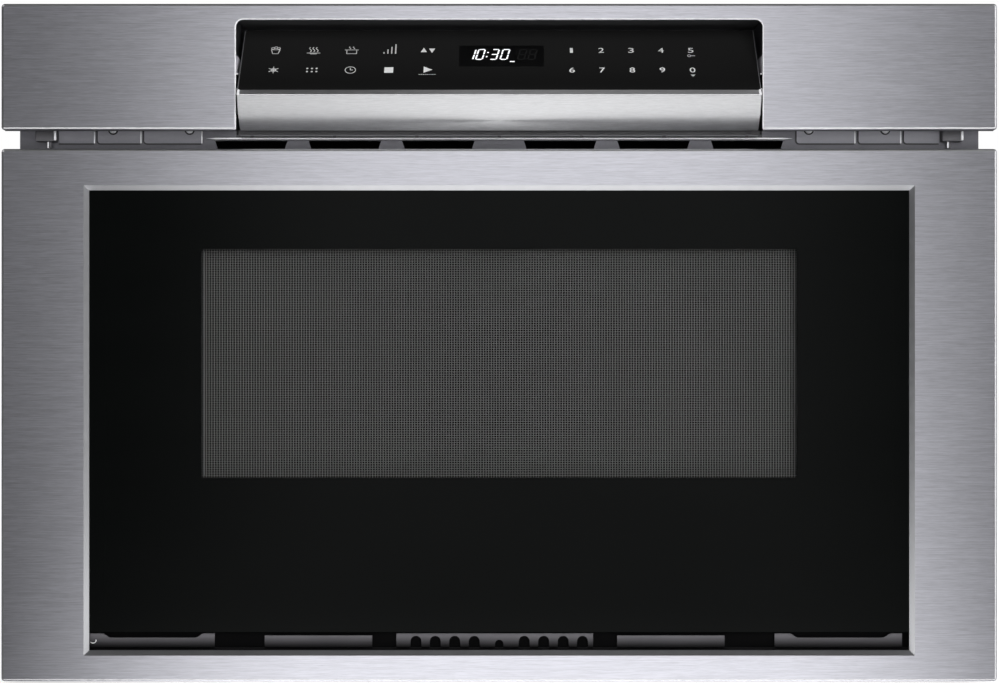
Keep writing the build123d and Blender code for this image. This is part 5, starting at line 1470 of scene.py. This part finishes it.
# ---------------------------------------------------------------- light, floor and camera
def studio():
    """White to the eye and to metal and glass, and a plain level of soft light for everything else."""
    world = bpy.data.worlds.new("studio")
    bpy.context.scene.world = world
    world.use_nodes = True
    tree = world.node_tree
    rays = tree.nodes.new("ShaderNodeLightPath").outputs
    bright = rays["Is Camera Ray"]
    for kind in ("Is Transmission Ray", "Is Glossy Ray"):
        either = tree.nodes.new("ShaderNodeMath")
        either.operation = "MAXIMUM"
        tree.links.new(bright, either.inputs[0])
        tree.links.new(rays[kind], either.inputs[1])
        bright = either.outputs[0]
    level = tree.nodes.new("ShaderNodeMapRange")
    level.inputs["To Min"].default_value = 0.35
    level.inputs["To Max"].default_value = 1.0
    tree.links.new(bright, level.inputs["Value"])
    tree.links.new(level.outputs[0], tree.nodes["Background"].inputs["Strength"])
    tree.nodes["Background"].inputs["Color"].default_value = (1, 1, 1, 1)


def soft_lamp(name, where, aim, size, power):
    """A rectangular soft light that polished surfaces don't mirror."""
    light = bpy.data.lights.new(name, "AREA")
    light.shape = "RECTANGLE"
    light.size, light.size_y = size
    light.energy = power
    lamp = in_scene(name, light)
    lamp.location = where
    lamp.rotation_euler = (Vector(aim) - Vector(where)).to_track_quat("-Z", "Y").to_euler()
    lamp.visible_glossy = False


def staged(name, points, faces, material):
    mesh = bpy.data.meshes.new(name)
    mesh.from_pydata(np.asarray(points).tolist(), [], np.asarray(faces).tolist())
    mesh.materials.append(material)
    made = in_scene(name, mesh)
    return made


def pale_floor():
    """A pale matt floor. It looks pale to the eye and throws back less light than it shows."""
    f = Finish("floor", (0.85, 0.85, 0.85), 0.9, Specular_IOR_Level=0.1, Emission_Color=(1.0, 1.0, 1.0))
    rays = f.node("LightPath").outputs
    thrown = f.blend(rays["Is Glossy Ray"], (0.38, 0.38, 0.385), (0.35, 0.35, 0.355))
    f.feed("Base Color", f.blend(rays["Is Camera Ray"], thrown, (0.95, 0.95, 0.95)))
    f.feed("Emission Strength", f.times(rays["Is Camera Ray"], 0.62))
    reach = 9.0
    points = [(-reach, -reach, 0), (reach, -reach, 0), (reach, reach, 0), (-reach, reach, 0)]
    staged("floor", points, [(0, 1, 2, 3)], f.material)


def shining_card(name, points, faces, shine):
    """A card of given brightness at each point, which only polished surfaces see."""
    card = bpy.data.materials.new(name)
    card.use_nodes = True
    tree = card.node_tree
    tree.nodes.remove(tree.nodes["Principled BSDF"])
    glow = tree.nodes.new("ShaderNodeEmission")
    level = tree.nodes.new("ShaderNodeAttribute")
    level.attribute_name = "shine"
    tree.links.new(level.outputs["Fac"], glow.inputs["Strength"])
    tree.links.new(glow.outputs[0], tree.nodes["Material Output"].inputs["Surface"])
    made = staged(name, points.reshape(-1, 3), faces, card)
    written = made.data.attributes.new("shine", "FLOAT", "POINT")
    written.data.foreach_set("value", np.asarray(shine, np.float32).ravel())
    made.visible_camera = made.visible_diffuse = made.visible_shadow = False
    made.visible_transmission = made.visible_volume_scatter = False


TENT_RADIUS = 6.0
TENT_LEVELS = (  # degrees round from straight in front, and the brightness there
    (-180, 0.8), (-120, 0.8), (-98, 0.06), (0, 0.055), (28, 0.06), (36, 0.8), (50, 0.8), (58, 0.34),
    (92, 0.38), (100, 0.9), (180, 0.8),
)


def grey_tent():
    """A dome all round: dim on the left in front and overhead, with a bright strip to the right in front,
    and an even level behind."""
    turn, rise = np.meshgrid(np.radians(np.linspace(-180, 180, 73)), np.radians(np.linspace(0.2, 89.8, 16)))
    out = np.cos(rise)
    points = TENT_RADIUS * np.stack([np.sin(turn) * out, -np.cos(turn) * out, np.sin(rise)], -1)
    shine = np.interp(np.degrees(turn), *zip(*TENT_LEVELS))
    overhead = np.clip((np.degrees(rise) - 35) / 30, 0, 1)
    shining_card("tent", points, grid_faces(*turn.shape), shine + (0.1 - shine) * overhead)


SWEEP_FLAT, SWEEP_CURL = 2.2, 1.7  # the white card's level run, and the radius that it curls up by


def white_sweep():
    """A white card that starts at the foot of the front, widens as it runs away and curls up behind the
    camera. It fades towards its long edges, and its upright part is the brighter one."""
    run, side = np.meshgrid(np.linspace(0, 1, 90) ** 2, np.linspace(-1, 1, 61), indexing="ij")
    gone = run * (SWEEP_FLAT + SWEEP_CURL * math.radians(120))
    bend = np.clip((gone - SWEEP_FLAT) / SWEEP_CURL, 0, None)
    away = np.minimum(gone, SWEEP_FLAT) + SWEEP_CURL * np.sin(bend)
    up = 0.003 + SWEEP_CURL * (1 - np.cos(bend))
    half = 0.46 + 0.16 * away
    points = np.stack([half * side + 0.03 + 0.02 * away, FRONT_Y + 0.02 - away, up], -1)
    fade = np.clip((1 - np.abs(side)) / 0.6, 0, 1)
    fade = fade * fade * (3 - 2 * fade)
    level = np.interp(gone, (0.0, 0.2, 0.5, SWEEP_FLAT, SWEEP_FLAT + 2.0), (1.9, 1.75, 1.25, 1.3, 1.7))
    shining_card("sweep", points, grid_faces(*run.shape), 0.12 + (level - 0.12) * fade)


def camera():
    """Level, straight in front, a little over half of the object's height."""
    data = bpy.data.cameras.new("camera")
    data.sensor_width = 36.0
    data.lens = 78.8
    made = in_scene("camera", data)
    made.location = (0.0006, FRONT_Y - 1.667, 0.263)
    made.rotation_euler = (math.radians(90), 0, 0)
    bpy.context.scene.camera = made


studio()
pale_floor()
grey_tent()
white_sweep()
soft_lamp("front_softbox", (0.3, -2.9, 0.5), (0, -0.3, 0.35), (1.6, 1.2), 62)
soft_lamp("side_softbox", (2.4, -0.9, 0.6), (0, -0.1, 0.3), (0.9, 0.9), 22)
camera()
bpy.context.scene.view_settings.view_transform = "Standard"
